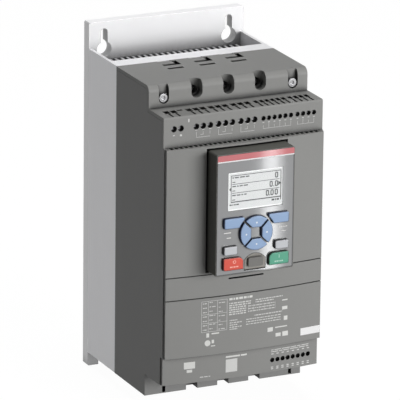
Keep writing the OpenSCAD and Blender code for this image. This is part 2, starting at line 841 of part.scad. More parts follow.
// Cage that clamps a cable to the end of a bar
module clamp(p, z0) {
    x = p * phase_pitch;
    f1 = clamp_f + clamp_d;
    color("silver") place() difference() {
        slab([x - clamp_w / 2, x + clamp_w / 2], [clamp_f, f1], [z0, z0 + clamp_h]);
        slab([x - bar_w / 2, x + bar_w / 2], [bar_f, f1 - clamp_front_t], [z0 - eps, z0 + clamp_h + eps]);
        pin_f(x, z0 + clamp_h / 2, clamp_screw_d, f1 - clamp_d / 2, f1 + eps);
    }
}

// Screws of the six cages
module clamp_screws() {
    f1 = clamp_f + clamp_d - clamp_screw_sink;
    color("silver") place() for (p = phases, z = [line_clamp_z0, load_clamp_z0])
        translate([p * phase_pitch, 0, z + clamp_h / 2]) difference() {
            pin_f(0, 0, clamp_screw_d - 2 * seam, f1 - clamp_screw_len, f1);
            forward(f1 - clamp_socket, f1 + eps) circle(d = clamp_socket_w, $fn = 6);
        }
}

// Relay that carries the current once the motor runs
module bypass_relay(p) {
    x = p * phase_pitch;
    color("ivory") place() difference() {
        slab([x - module_w / 2, x + module_w / 2], [relay_f, power_f], [relay_z0, relay_z1]);
        slab([x - module_w, x + module_w], [relay_f - eps, relay_f + relay_foot],
             [relay_z0 + bar_lap, relay_z1 - bar_lap]);
    }
}

// Ring coil round a load bar
module current_coil(p) {
    x = p * phase_pitch;
    f0 = bar_f + bar_t / 2 - coil_d / 2;
    color("steelblue") place() difference() {
        slab([x - module_w / 2, x + module_w / 2], [f0, f0 + coil_d], [coil_z0, coil_z0 + coil_h]);
        slab([x - bar_w / 2 - seam, x + bar_w / 2 + seam], [bar_f - seam, bar_f + bar_t + seam],
             [coil_z0 - eps, coil_z0 + coil_h + eps]);
    }
}

// Places of the four board pillars
module at_pillars() {
    for (s = sides, z = [control_z0 + pillar_edge, ctrl_z0 - 2 * pillar_edge])
        translate([s * pillar_x, 0, z]) children();
}

// Board with the firing circuits, carried by the relays
module power_board() {
    color("darkgreen") place()
        slab([-board_w / 2, board_w / 2], [power_f, power_f + board_t], [power_z0, power_z1]);
}

// Pillars between the two boards
module board_pillars() {
    color("goldenrod") place() at_pillars() pin_f(0, 0, 2 * pillar_r, power_f + board_t, control_f);
}

// Board with the control circuits
module control_board() {
    color("darkgreen") place()
        slab([-board_w / 2, board_w / 2], [control_f, control_f + board_t], [control_z0, control_z1]);
}

// Row of terminals behind the control front
module terminal_block(x0, x1, xs) {
    difference() {
        slab([x0, x1], [block_f, block_front], [block_z0, block_z1]);
        for (x = xs) {
            pin_f(x, ctrl_hole_z, terminal_screw_d + 2 * seam,
                  block_front - terminal_screw_in, block_front + eps);
            translate([x, -(block_f + block_front) / 2, block_z1 - terminal_mouth_h])
                cylinder(d = terminal_screw_d, h = terminal_mouth_h + eps);
        }
    }
}

// Terminals of the supply and relay contacts
module relay_block() {
    color("darkslategray") place() terminal_block(-board_w / 2, block_split - seam, relay_xs);
}

// Terminals of the inputs and outputs
module signal_block() {
    color("darkslategray") place() terminal_block(block_split + seam, board_w / 2, signal_xs);
}

// Slotted screws along a row of terminals
module row_screws(xs, z, d, front_f) {
    f1 = front_f - terminal_screw_sink;
    for (x = xs) difference() {
        pin_f(x, z, d, front_f - terminal_screw_in, f1);
        slab([x - d, x + d], [f1 - screw_slot_d, f1 + eps], [z - screw_slot_w / 2, z + screw_slot_w / 2]);
    }
}

// Screws of the relay terminals
module relay_block_screws() {
    color("silver") place() row_screws(relay_xs, ctrl_hole_z, terminal_screw_d, block_front);
}

// Screws of the signal terminals
module signal_block_screws() {
    color("silver") place() row_screws(signal_xs, ctrl_hole_z, terminal_screw_d, block_front);
}

// Terminals behind the lower cover
module lower_block() {
    ends = [low_xs[0] - low_block_edge, low_x1 + low_block_edge];
    color("darkslategray") place() difference() {
        slab(ends, [entry_f, low_block_f], [low_block_z0, low_block_z1]);
        for (x = low_xs)
            pin_f(x, low_hole_z, low_screw_d + 2 * seam, low_block_f - terminal_screw_in, low_block_f + eps);
    }
}

// Screws of the lower terminals
module lower_block_screws() {
    color("silver") place() row_screws(low_xs, low_hole_z, low_screw_d, low_block_f);
}

// Socket on the control board for the keypad's plug
module keypad_socket() {
    f1 = kp_back_f - plug_d - seam;
    color("darkslategray") place()
        slab([-plug_w / 2, plug_w / 2], [block_f, f1], [plug_z - plug_h / 2, plug_z + plug_h / 2]);
}

// Plug on the keypad's back
module keypad_plug() {
    color("black") place() slab([-plug_w / 2, plug_w / 2], [kp_back_f - plug_d, kp_back_f],
                                [plug_z - plug_h / 2, plug_z + plug_h / 2]);
}

// Outline of the keypad, drawn about its middle
module keypad_outline(inset) {
    translate([0, (kp_z0 + kp_z1) / 2])
        round_rect(kp_w - 2 * inset, kp_h - 2 * inset, max(kp_r - inset, least_r));
}

// Rear shell of the keypad with four posts for its board
module keypad_case() {
    color("black") place() {
        difference() {
            forward(kp_back_f, face_f - face_rim) keypad_outline(0);
            forward(kp_back_f + case_t, case_f + eps) keypad_outline(case_t);
            forward(case_f, face_f + eps) keypad_outline(face_inset - face_fit);
        }
        for (x = sides, z = [kp_z0 + post_inset, kp_z1 - post_inset])
            pin_f(x * (kp_w / 2 - post_inset), z, 2 * post_r, kp_back_f + case_t - eps, kp_board_f - board_t);
    }
}

// Circuit board of the keypad
module keypad_board() {
    color("darkgreen") place() forward(kp_board_f - board_t, kp_board_f) keypad_outline(case_t + seam);
}

// Block of the display's size, grown or shrunk on all sides, from one depth to another
module display_block(grow, f0, f1) {
    forward(f0, f1) translate([0, kp_z0 + disp_rise + disp_h / 2])
        square([disp_w + 2 * grow, disp_h + 2 * grow], center = true);
}

// Display with a broad foot behind the face and a raised frame in the window
module display_module() {
    color("whitesmoke") place() difference() {
        union() {
            display_block(disp_lip, kp_board_f, case_f - seam);
            display_block(-seam, kp_board_f, lens_f);
        }
        display_block(-seam - disp_frame, lens_f - disp_sink, lens_f + eps);
    }
}

// Clear lens on the display's frame
module display_lens() {
    color("aliceblue") place() display_block(-seam, lens_f, lens_f + lens_t);
}

// Outline of a soft key, hollowed round the pad
module soft_outline(s, grow) {
    difference() {
        translate([s * soft_x, kp_z0 + soft_rise])
            round_rect(soft_w + 2 * grow, soft_h + 2 * grow, key_r + grow);
        translate([0, kp_z0 + pad_rise]) circle(pad_r + 2 * key_gap + key_web - grow);
    }
}

// Outline of a small grey key
module small_outline(s, grow) {
    translate([s * small_x, kp_z0 + small_rise])
        round_rect(small_w + 2 * grow, small_h + 2 * grow, key_r + grow);
}

// Outline of the stop or start key, with a large round towards the middle
module run_outline(s, grow) {
    w = run_w + 2 * grow;
    h = run_h + 2 * grow;
    r = run_r + grow;
    corner = key_r + grow;
    translate([s * run_x, kp_z0 + run_rise]) mirror([s > 0 ? 0 : 1, 0]) {
        translate([w / 2 - corner, 0]) square([2 * corner, h - 2 * corner], center = true);
        for (z = sides) translate([w / 2 - corner, z * (h / 2 - corner)]) circle(corner);
        translate([r - w / 2, -h / 2]) square([w - r - corner, h]);
        translate([-w / 2, -h / 2]) square([r, h - r]);
        translate([r - w / 2, h / 2 - r]) circle(r);
    }
}

// Quarter of the round pad that points up, turned to its side
module arrow_outline(turn, reach, split) {
    translate([0, kp_z0 + pad_rise]) rotate(turn) intersection() {
        difference() {
            circle(reach);
            square(2 * pad_core + split, center = true);
        }
        translate([0, split / sqrt(2)]) polygon([[0, 0], [2 * reach, 2 * reach], [-2 * reach, 2 * reach]]);
    }
}

// Solid of a key: the cap through the face and the flange behind it
module key_solid(tint) {
    color(tint) place() {
        forward(key_flange_f, key_f) children(0);
        forward(key_flange_f, key_flange_f + flange_t) children(1);
    }
}

// Soft key beside the display's foot
module soft_key(s) {
    key_solid("lightsteelblue") {
        soft_outline(s, 0);
        soft_outline(s, key_lip);
    }
}

// Small grey key
module small_key(s) {
    key_solid("gainsboro") {
        small_outline(s, 0);
        small_outline(s, key_lip);
    }
}

// Stop or start key
module run_key(s, tint) {
    key_solid(tint) {
        run_outline(s, 0);
        run_outline(s, key_lip);
    }
}

// Quarter of the round pad
module arrow_key(turn) {
    key_solid("lightsteelblue") {
        arrow_outline(turn, pad_r, pad_split);
        arrow_outline(turn, pad_r + key_lip, pad_split);
    }
}

// Outline of the service port's flap: an arch on a straight foot
module flap_outline(grow) {
    r = flap_w / 2 + grow;
    z0 = flap_pin_z;
    intersection() {
        translate([-r, z0]) square([2 * r, flap_z0 + flap_h - z0 + grow]);
        translate([0, flap_z0 + flap_h - flap_arch_r]) circle(flap_arch_r + grow);
    }
    translate([-r, z0]) square([2 * r, flap_z0 + flap_h - z0 - flap_shoulder + grow]);
}

// Round bar across the keypad at the flap's hinge
module hinge_bar(r, x0, x1) {
    translate([x0, -flap_pin_f, flap_pin_z]) rotate([0, 90, 0]) cylinder(r = r, h = x1 - x0);
}

// Flap over the service port, with its knuckle and two pins
module port_flap() {
    color("gray") place() {
        forward(flap_pin_f - flap_knuckle_r + flap_relief, face_f) flap_outline(0);
        forward(face_f - eps, face_f + flap_lug_t)
            translate([0, flap_z0 + flap_lug_rise + flap_lug_h / 2])
                round_rect(flap_lug_w, flap_lug_h, key_r);
        hinge_bar(flap_knuckle_r, -flap_w / 2, flap_w / 2);
        hinge_bar(flap_pin_r, -flap_w / 2 - flap_pin_len, flap_w / 2 + flap_pin_len);
    }
}

// Face plate of the keypad with its window, key holes and flap opening
module keypad_face() {
    r = flap_knuckle_r + flap_gap;
    pin_x = flap_w / 2 + flap_pin_len + seam;
    color("darkgray") place() difference() {
        forward(case_f, face_f) keypad_outline(face_inset);
        forward(case_f - eps, face_f + eps) {
            translate([0, kp_z0 + disp_rise + disp_h / 2]) square([disp_w, disp_h], center = true);
            for (s = sides) {
                soft_outline(s, key_gap);
                small_outline(s, key_gap);
                run_outline(s, key_gap);
            }
            for (turn = [0 : 90 : 270]) arrow_outline(turn, pad_r + key_gap, pad_split - 2 * key_gap);
            flap_outline(flap_gap);
            translate([-flap_w / 2 - flap_gap, flap_pin_z - r]) square([flap_w + 2 * flap_gap, r + eps]);
        }
        hinge_bar(flap_pin_r + flap_pin_fit, -pin_x, pin_x);
    }
}

// Rubber sheet under the keys
module key_mat() {
    w = kp_w - 2 * (case_t + seam + mat_edge);
    color("dimgray") place() difference() {
        slab([-w / 2, w / 2], [kp_board_f, kp_board_f + mat_t],
             [kp_z0 + case_t + seam + mat_edge, kp_z0 + disp_rise - disp_lip - socket_gap]);
        slab([-socket_w / 2 - socket_gap, socket_w / 2 + socket_gap],
             [kp_board_f - eps, kp_board_f + mat_t + eps],
             [socket_z - socket_h / 2 - socket_gap, socket_z + socket_h / 2 + socket_gap]);
    }
}

// Socket for service behind the flap
module service_port() {
    color("silver") place() difference() {
        slab([-socket_w / 2, socket_w / 2], [kp_board_f, case_f],
             [socket_z - socket_h / 2, socket_z + socket_h / 2]);
        slab([-socket_w / 2 + socket_wall, socket_w / 2 - socket_wall],
             [kp_board_f + socket_floor, case_f + eps],
             [socket_z - socket_h / 2 + socket_wall, socket_z + socket_h / 2 - socket_wall]);
    }
}

mounting_plate();
heatsink();
plate_screws();
base_housing();
upper_cover();
cover_screws();
control_cover();
front_cover();
lower_cover();
power_board();
board_pillars();
control_board();
relay_block();
relay_block_screws();
signal_block();
signal_block_screws();
lower_block();
lower_block_screws();
clamp_screws();
keypad_socket();
keypad_case();
keypad_face();
keypad_board();
keypad_plug();
key_mat();
display_module();
display_lens();
service_port();
port_flap();
soft_key(-1);  // soft_key_left
soft_key(1);  // soft_key_right
arrow_key(0);  // arrow_key_up
arrow_key(90);  // arrow_key_left
arrow_key(180);  // arrow_key_down
arrow_key(270);  // arrow_key_right
small_key(-1);  // help_key
small_key(1);  // mode_key
run_key(-1, "tomato");  // stop_key
run_key(1, "mediumseagreen");  // start_key
for (i = [1 : 3]) {
    thyristor_module(i - 2);
    bypass_relay(i - 2);
    line_busbar(i - 2);
    load_busbar(i - 2);
    clamp(i - 2, line_clamp_z0);
    clamp(i - 2, load_clamp_z0);
    current_coil(i - 2);
}
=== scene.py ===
"""Studio scene of a wall-mounted soft starter.

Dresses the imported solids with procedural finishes, lays the printed legends, the display picture and
the key symbols on them as thin surfaces, and sets up floor, light and camera.
"""

import logging
import math
from dataclasses import dataclass, field
from enum import Enum
from typing import Any, Callable, Iterable, Mapping, Sequence, Union

import bmesh
import bpy
import numpy as np
from mathutils import Matrix, Vector


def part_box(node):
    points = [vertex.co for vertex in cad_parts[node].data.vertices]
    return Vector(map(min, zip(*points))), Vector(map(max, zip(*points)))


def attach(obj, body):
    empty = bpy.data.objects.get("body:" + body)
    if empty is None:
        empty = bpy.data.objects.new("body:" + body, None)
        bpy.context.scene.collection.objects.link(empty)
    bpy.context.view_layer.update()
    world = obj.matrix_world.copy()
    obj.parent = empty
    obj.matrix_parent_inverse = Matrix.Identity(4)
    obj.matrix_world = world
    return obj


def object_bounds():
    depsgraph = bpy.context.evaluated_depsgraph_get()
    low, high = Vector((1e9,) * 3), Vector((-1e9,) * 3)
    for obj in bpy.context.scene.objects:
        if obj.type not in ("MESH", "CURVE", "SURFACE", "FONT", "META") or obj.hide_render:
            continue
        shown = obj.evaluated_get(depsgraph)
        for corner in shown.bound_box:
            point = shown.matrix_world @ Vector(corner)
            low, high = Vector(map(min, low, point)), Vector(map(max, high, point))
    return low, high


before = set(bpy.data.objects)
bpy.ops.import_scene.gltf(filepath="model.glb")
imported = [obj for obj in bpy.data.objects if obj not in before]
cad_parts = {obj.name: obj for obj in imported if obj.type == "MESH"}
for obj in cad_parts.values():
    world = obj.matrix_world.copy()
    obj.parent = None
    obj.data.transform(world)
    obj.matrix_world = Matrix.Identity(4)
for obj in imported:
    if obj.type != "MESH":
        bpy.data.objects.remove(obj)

LOG = logging.getLogger("soft_starter")
MM = 0.001
CAD_LOW, CAD_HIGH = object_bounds()

Colour = tuple[float, float, float, float]
Depth = Callable[[np.ndarray], np.ndarray]
Spans = list[list[float]]
Rows = Sequence[Sequence[float]]
Triple = tuple[float, float, float]

WHITE: Colour = (1.0, 1.0, 1.0, 1.0)
EVEN: Triple = (1.0, 1.0, 1.0)
ON_FACE_MM = 0.1
SIDEWAYS = 0.5
EDGE_SAMPLES, RIM_SAMPLES, OPEN_SAMPLES = 4, 8, 8
RIM_BEND = (0.85, 0.99)
RIM_UPWARD = (0.0, 0.3)
WELD = 1e-7
TIP_SHARE = 0.98


def srgb(red: float, green: float, blue: float) -> Colour:
    """Turns a display colour into a linear one.

    Args:
        red: Red from 0 to 255, as the eye sees it on a screen.
        green: Green from 0 to 255.
        blue: Blue from 0 to 255.

    Returns:
        The linear colour with full alpha.
    """
    shown = np.array((red, green, blue)) / 255.0
    linear = np.where(shown <= 0.04045, shown / 12.92, ((shown + 0.055) / 1.055) ** 2.4)
    return (*(float(value) for value in linear), 1.0)


class Sock:
    """Shader socket that takes part in arithmetic: each operator adds one Math node."""

    def __init__(self, shader: "Shader", socket: bpy.types.NodeSocket) -> None:
        """Keeps the socket and the shader that it belongs to."""
        self.shader = shader
        self.socket = socket

    def _math(self, operation: str, first: "Operand", second: "Operand") -> "Sock":
        """Adds a Math node on two values and returns its result."""
        return self.shader.out("ShaderNodeMath", {"operation": operation}, {0: first, 1: second})

    def __add__(self, other: "Operand") -> "Sock":
        """Sum of two values."""
        return self._math("ADD", self, other)

    def __radd__(self, other: "Operand") -> "Sock":
        """Sum with a number on the left."""
        return self._math("ADD", other, self)

    def __sub__(self, other: "Operand") -> "Sock":
        """Difference of two values."""
        return self._math("SUBTRACT", self, other)

    def __rsub__(self, other: "Operand") -> "Sock":
        """Difference from a number on the left."""
        return self._math("SUBTRACT", other, self)

    def __mul__(self, other: "Operand") -> "Sock":
        """Product of two values."""
        return self._math("MULTIPLY", self, other)

    def __rmul__(self, other: "Operand") -> "Sock":
        """Product with a number on the left."""
        return self._math("MULTIPLY", other, self)

    def __mod__(self, other: "Operand") -> "Sock":
        """Remainder that is never negative."""
        return self._math("FLOORED_MODULO", self, other)

    def __lt__(self, other: "Operand") -> "Sock":
        """One where the value is less, zero elsewhere."""
        return self._math("LESS_THAN", self, other)

    def __gt__(self, other: "Operand") -> "Sock":
        """One where the value is greater, zero elsewhere."""
        return self._math("GREATER_THAN", self, other)

    def __abs__(self) -> "Sock":
        """Size of the value without its sign."""
        return self._math("ABSOLUTE", self, 0.0)

    def top(self, other: "Operand") -> "Sock":
        """Larger of two values."""
        return self._math("MAXIMUM", self, other)

    def smooth(self, start: float, end: float) -> "Sock":
        """Rises smoothly from 0 at start to 1 at end."""
        settings = {"interpolation_type": "SMOOTHSTEP"}
        return self.shader.out("ShaderNodeMapRange", settings, {"Value": self, 1: start, 2: end})


Operand = Union[Sock, float]


@dataclass(frozen=True)
class RecessShade:
    """Painted shade: how far a surface's colour darkens in its recesses, where shade falls, down to a tone.

    The free share of the half sphere over a place, within the reach, says how open it is: up to closed it is
    deep inside, and from full on it is free. In a square inner corner the share is a half. With alone, only
    the piece's own walls count.
    """

    reach_mm: float = 5.0
    tone: float = 0.03
    alone: bool = True
    closed: float = 0.3
    full: float = 0.9


class Owner(Enum):
    """What a node tree belongs to: where its data is kept and the node that ends it."""

    MATERIAL = ("materials", "ShaderNodeOutputMaterial")
    WORLD = ("worlds", "ShaderNodeOutputWorld")


class Shader:
    """Node tree under construction, with one method that makes any node."""

    def __init__(self, name: str, owner: Owner = Owner.MATERIAL) -> None:
        """Starts an empty tree.

        Args:
            name: Name of the new material or world.
            owner: What the tree belongs to.
        """
        store, output = owner.value
        self.made = getattr(bpy.data, store).new(name)
        self.made.use_nodes = True
        self.tree = self.made.node_tree
        self.tree.nodes.clear()
        self.output = self.node(output, {}, {})
        self.object_place: Sock | None = None

    def node(self, kind: str, settings: Mapping[str, Any], sockets: Mapping[Any, Any]) -> bpy.types.Node:
        """Adds a node.

        Args:
            kind: Blender's name of the node type.
            settings: Attributes of the node, set before its sockets.
            sockets: Values or links by socket name or index.

        Returns:
            The new node.
        """
        made = self.tree.nodes.new(kind)
        for key, value in settings.items():
            setattr(made, key, value)
        for key, value in sockets.items():
            if isinstance(value, Sock):
                self.tree.links.new(value.socket, made.inputs[key])
            else:
                made.inputs[key].default_value = value
        return made

    def out(self, kind: str, settings: Mapping[str, Any], sockets: Mapping[Any, Any],
            result: Union[int, str] = 0) -> Sock:
        """Adds a node and returns one of its results as a socket for arithmetic."""
        return Sock(self, self.node(kind, settings, sockets).outputs[result])

    def place(self) -> Sock:
        """Place on the piece in its own frame, in metres.

        Returns:
            The place, from one node that all uses share.
        """
        if self.object_place is None:
            self.object_place = self.out("ShaderNodeTexCoord", {}, {}, "Object")
        return self.object_place

    def part(self, vector: Sock, letter: str) -> Sock:
        """One coordinate of a place or direction."""
        return self.out("ShaderNodeSeparateXYZ", {}, {0: vector}, letter)

    def axis(self, letter: str) -> Sock:
        """One coordinate of the place, in millimetres."""
        return self.part(self.place(), letter) * (1.0 / MM)

    def facing(self) -> Sock:
        """Direction in which the face looks."""
        return self.out("ShaderNodeNewGeometry", {}, {}, "True Normal")

    def noise(self, size_mm: float, detail: float = 2.0, stretch: Triple = EVEN) -> Sock:
        """Soft noise from 0 to 1.

        Args:
            size_mm: Size of its patches in millimetres.
            detail: Number of finer layers.
            stretch: Factor by which the patches are drawn out along each axis.

        Returns:
            The noise value.
        """
        scale = [1.0 / (size_mm * MM * factor) for factor in stretch]
        spread = self.out("ShaderNodeMapping", {}, {"Vector": self.place(), "Scale": scale})
        return self.out("ShaderNodeTexNoise", {}, {"Vector": spread, "Scale": 1.0, "Detail": detail})

    def tint(self, colour: Colour, tone: Sock) -> Sock:
        """Colour made lighter or darker by a value."""
        return self.out("ShaderNodeVectorMath", {"operation": "SCALE"}, {0: colour[:3], "Scale": tone})

    def mix(self, share: Operand, first: Any, second: Any) -> Sock:
        """Blend of two colours, where the share gives the second one's part."""
        return self.out("ShaderNodeMix", {"data_type": "RGBA"}, {0: share, 6: first, 7: second}, 2)

    def broken(self, edge_mm: float, samples: int) -> Sock:
        """Direction of the surface with its edges rounded by a radius."""
        return self.out("ShaderNodeBevel", {"samples": samples}, {"Radius": edge_mm * MM})

    def relief(self, height: Sock, depth_mm: float, edge_mm: float) -> Sock:
        """Surface direction with fine relief and softly broken edges.

        Args:
            height: Relief from 0 to 1.
            depth_mm: Depth of the relief in millimetres.
            edge_mm: Radius of the broken edges in millimetres.

        Returns:
            The direction for a Normal socket.
        """
        edge = self.broken(edge_mm, EDGE_SAMPLES)
        sockets = {"Strength": 1.0, "Distance": depth_mm * MM, "Height": height, "Normal": edge}
        return self.out("ShaderNodeBump", {}, sockets)

    def painted_rim(self, edge_mm: float) -> Sock:
        """Share of painted shade along the edges of a face: one on the edges and zero inside it, but zero
        too on edges that look upward, where light falls.

        Args:
            edge_mm: Width of the rim in millimetres.

        Returns:
            The share of the rim.
        """
        bent = self.broken(edge_mm, RIM_SAMPLES)
        sockets = {0: bent, 1: self.facing()}
        along = self.out("ShaderNodeVectorMath", {"operation": "DOT_PRODUCT"}, sockets, "Value")
        return (1.0 - along.smooth(*RIM_BEND)) * (1.0 - self.part(bent, "Z").smooth(*RIM_UPWARD))

    def painted_recess_shade(self, painted_shade: RecessShade) -> Sock:
        """Brightness of painted shade: 1 on a free face, falling to the tone deep inside a recess.

        Args:
            painted_shade: How far the surface's colour is darkened as painted shade.

        Returns:
            The brightness.
        """
        settings = {"samples": OPEN_SAMPLES, "only_local": painted_shade.alone}
        free = self.out("ShaderNodeAmbientOcclusion", settings, {"Distance": painted_shade.reach_mm * MM}, "AO")
        return free.smooth(painted_shade.closed, painted_shade.full) * (1.0 - painted_shade.tone) + painted_shade.tone

    def close(self, last: Sock) -> Any:
        """Links the last node to the output and returns the finished material or world."""
        self.tree.links.new(last.socket, self.output.inputs["Surface"])
        return self.made


@dataclass(frozen=True)
class Finish:
    """Look of a surface; each kind of finish gives the sockets of its own material."""

    name: str
    colour: Colour

    def sockets(self, shader: Shader) -> dict[str, Any]:
        """Values and links of the finish's Principled surface."""
        raise NotImplementedError

    def paint(self) -> bpy.types.Material:
        """Makes the finish's material."""
        shader = Shader(self.name)
        return shader.close(shader.out("ShaderNodeBsdfPrincipled", {}, self.sockets(shader)))


@dataclass(frozen=True)
class MouldedPlastic(Finish):
    """Injection-moulded plastic with fine spark-eroded grain, faint flow clouds and painted shade in its
    recesses.
    """

    rough: float = 0.52
    specular: float = 0.3
    grain_mm: float = 0.45
    grain_depth_mm: float = 0.012
    grain_tone: float = 0.09
    grain_shine: float = 0.14
    cloud_mm: float = 70.0
    cloud_tone: float = 0.1
    edge_mm: float = 0.2
    painted_shade: RecessShade = RecessShade()

    def tone(self, shader: Shader, grain: Sock) -> Sock:
        """Brightness of the plastic: wide flow clouds, the grain's speckle and painted shade in the
        recesses.
        """
        cloud = (shader.noise(self.cloud_mm, 3.0) - 0.5) * self.cloud_tone
        return (1.0 + cloud + (grain - 0.5) * self.grain_tone) * shader.painted_recess_shade(self.painted_shade)

    def base(self, shader: Shader, tone: Sock) -> Sock:
        """Colour of the plastic at a brightness."""
        return shader.tint(self.colour, tone)

    def sockets(self, shader: Shader) -> dict[str, Any]:
        """Clouded colour, with the grain in roughness and relief.

        Args:
            shader: Material under construction.

        Returns:
            Values and links of the Principled surface.
        """
        grain = shader.noise(self.grain_mm)
        return {
            "Base Color": self.base(shader, self.tone(shader, grain)),
            "Roughness": self.rough + (grain - 0.5) * self.grain_shine,
            "Specular IOR Level": self.specular,
            "Normal": shader.relief(grain, self.grain_depth_mm, self.edge_mm)}


@dataclass(frozen=True)
class NotchedPlastic(MouldedPlastic):
    """Plastic of a housing with near-black painted shade on the sideways-looking flanks of its cable
    notches.
    """

    notch_half_mm: float = 60.0
    notch_top_mm: float = -120.0
    notch_shade_tone: float = 0.04

    def tone(self, shader: Shader, grain: Sock) -> Sock:
        """Brightness of the plastic, with painted shade on the notches' flanks.

        Args:
            shader: Material under construction.
            grain: Grain from 0 to 1.

        Returns:
            The brightness.
        """
        notch = (abs(shader.axis("X")) < self.notch_half_mm) * (shader.axis("Z") < self.notch_top_mm)
        shaded_flank = (abs(shader.part(shader.facing(), "X")) > SIDEWAYS) * notch
        return super().tone(shader, grain) * (1.0 - shaded_flank * (1.0 - self.notch_shade_tone))


@dataclass(frozen=True)
class StepPlastic(MouldedPlastic):
    """Plastic whose raised front has a colour of its own, as on printed or two-shot keys; on the keys the
    other colour, behind the step and on rims that don't look upward, is painted shade.
    """

    grain_shine: float = 0.1
    front_colour: Colour = WHITE
    front_mm: float = 0.0
    step_mm: float = 0.35
    shaded_rim_share: float = 0.0

    def base(self, shader: Shader, tone: Sock) -> Sock:
        """Colour by depth: the front's colour ends a step behind the front and at its rims, where on the
        keys the other colour is painted shade.

        Args:
            shader: Material under construction.
            tone: Brightness of the plastic.

        Returns:
            The colour.
        """
        behind = (shader.axis("Y") - self.front_mm).smooth(0.5 * self.step_mm, self.step_mm)
        if self.shaded_rim_share:
            behind = behind.top(shader.painted_rim(self.edge_mm) * self.shaded_rim_share)
        return shader.mix(behind, shader.tint(self.front_colour, tone), shader.tint(self.colour, tone))


@dataclass(frozen=True)
class CasePlastic(StepPlastic):
    """Plastic of a plug-in case: near-black painted shade where it sits in its pocket, and a painted
    highlight on its front rim.
    """

    painted_highlight_colour: Colour = WHITE
    rim_front_mm: float = 0.0
    rim_mm: float = 0.15

    def base(self, shader: Shader, tone: Sock) -> Sock:
        """Colour by depth: a painted highlight on the rim, then the flank's own colour, then painted black
        shade behind the panel.
        """
        painted_rim = shader.axis("Y") < self.rim_front_mm + self.rim_mm
        return shader.mix(painted_rim, super().base(shader, tone), shader.tint(self.painted_highlight_colour, tone))


@dataclass(frozen=True)
class BareMetal(Finish):
    """Metal with drawn, milled or turned lines and faint wide stains."""

    metallic: float = 1.0
    rough: float = 0.3
    line_mm: float = 0.4
    stretch: Triple = (1.0, 1.0, 120.0)
    line_depth_mm: float = 0.006
    line_tone: float = 0.1
    line_shine: float = 0.16
    stain_mm: float = 45.0
    stain_tone: float = 0.07
    stain_shine: float = 0.08
    edge_mm: float = 0.35

    def tone(self, shader: Shader, lines: Sock, stain: Sock) -> Sock:
        """Brightness of the metal: its lines and the stains."""
        return 1.0 + (lines - 0.5) * self.line_tone + (stain - 0.5) * self.stain_tone

    def sockets(self, shader: Shader) -> dict[str, Any]:
        """Lines in colour, roughness and relief, and stains in colour and roughness.

        Args:
            shader: Material under construction.

        Returns:
            Values and links of the Principled surface.
        """
        lines = shader.noise(self.line_mm, 3.0, self.stretch)
        stain = shader.noise(self.stain_mm, 3.0)
        return {
            "Base Color": shader.tint(self.colour, self.tone(shader, lines, stain)),
            "Metallic": self.metallic,
            "Roughness": self.rough + (lines - 0.5) * self.line_shine + (stain - 0.5) * self.stain_shine,
            "Normal": shader.relief(lines, self.line_depth_mm, self.edge_mm)}


@dataclass(frozen=True)
class PlateMetal(BareMetal):
    """Rolled sheet metal with a painted highlight on its top face and painted shade beside what stands
    before the sheet.
    """

    top_mm: float = 0.0
    painted_light_gain: float = 0.7
    painted_shade: RecessShade = RecessShade(18.0, 0.42, False, 0.2)

    def tone(self, shader: Shader, lines: Sock, stain: Sock) -> Sock:
        """Brightness of the metal: a painted highlight on the top face, and painted shade beside what stands
        before the sheet.
        """
        painted_light = 1.0 + (shader.axis("Z") > self.top_mm - ON_FACE_MM) * self.painted_light_gain
        return super().tone(shader, lines, stain) * shader.painted_recess_shade(self.painted_shade) * painted_light


@dataclass(frozen=True)
class FinMetal(BareMetal):
    """Extruded metal that is darker by a share on its fins and has painted shade deep between them."""

    inner_half_mm: float = 71.0
    fin_front_mm: float = -53.0
    fin_top_mm: float = 124.0
    above_mm: float = 0.5
    below_mm: float = 1.2
    deep_shade: float = 0.93
    fin_darkening: float = 0.4

    def tone(self, shader: Shader, lines: Sock, stain: Sock) -> Sock:
        """Brightness of the metal: lower by a share on the fins, and lower still deep between them, as
        painted shade.

        Args:
            shader: Material under construction.
            lines: Lines from 0 to 1.
            stain: Stains from 0 to 1.

        Returns:
            The brightness.
        """
        height = shader.axis("Z")
        between = (abs(shader.axis("X")) < self.inner_half_mm) * (shader.axis("Y") > self.fin_front_mm)
        fins = between * (height < self.fin_top_mm + self.above_mm)
        deep = 1.0 - height.smooth(self.fin_top_mm - self.below_mm, self.fin_top_mm - ON_FACE_MM)
        dark = fins * (self.fin_darkening + deep * (self.deep_shade - self.fin_darkening))
        return super().tone(shader, lines, stain) * (1.0 - dark)


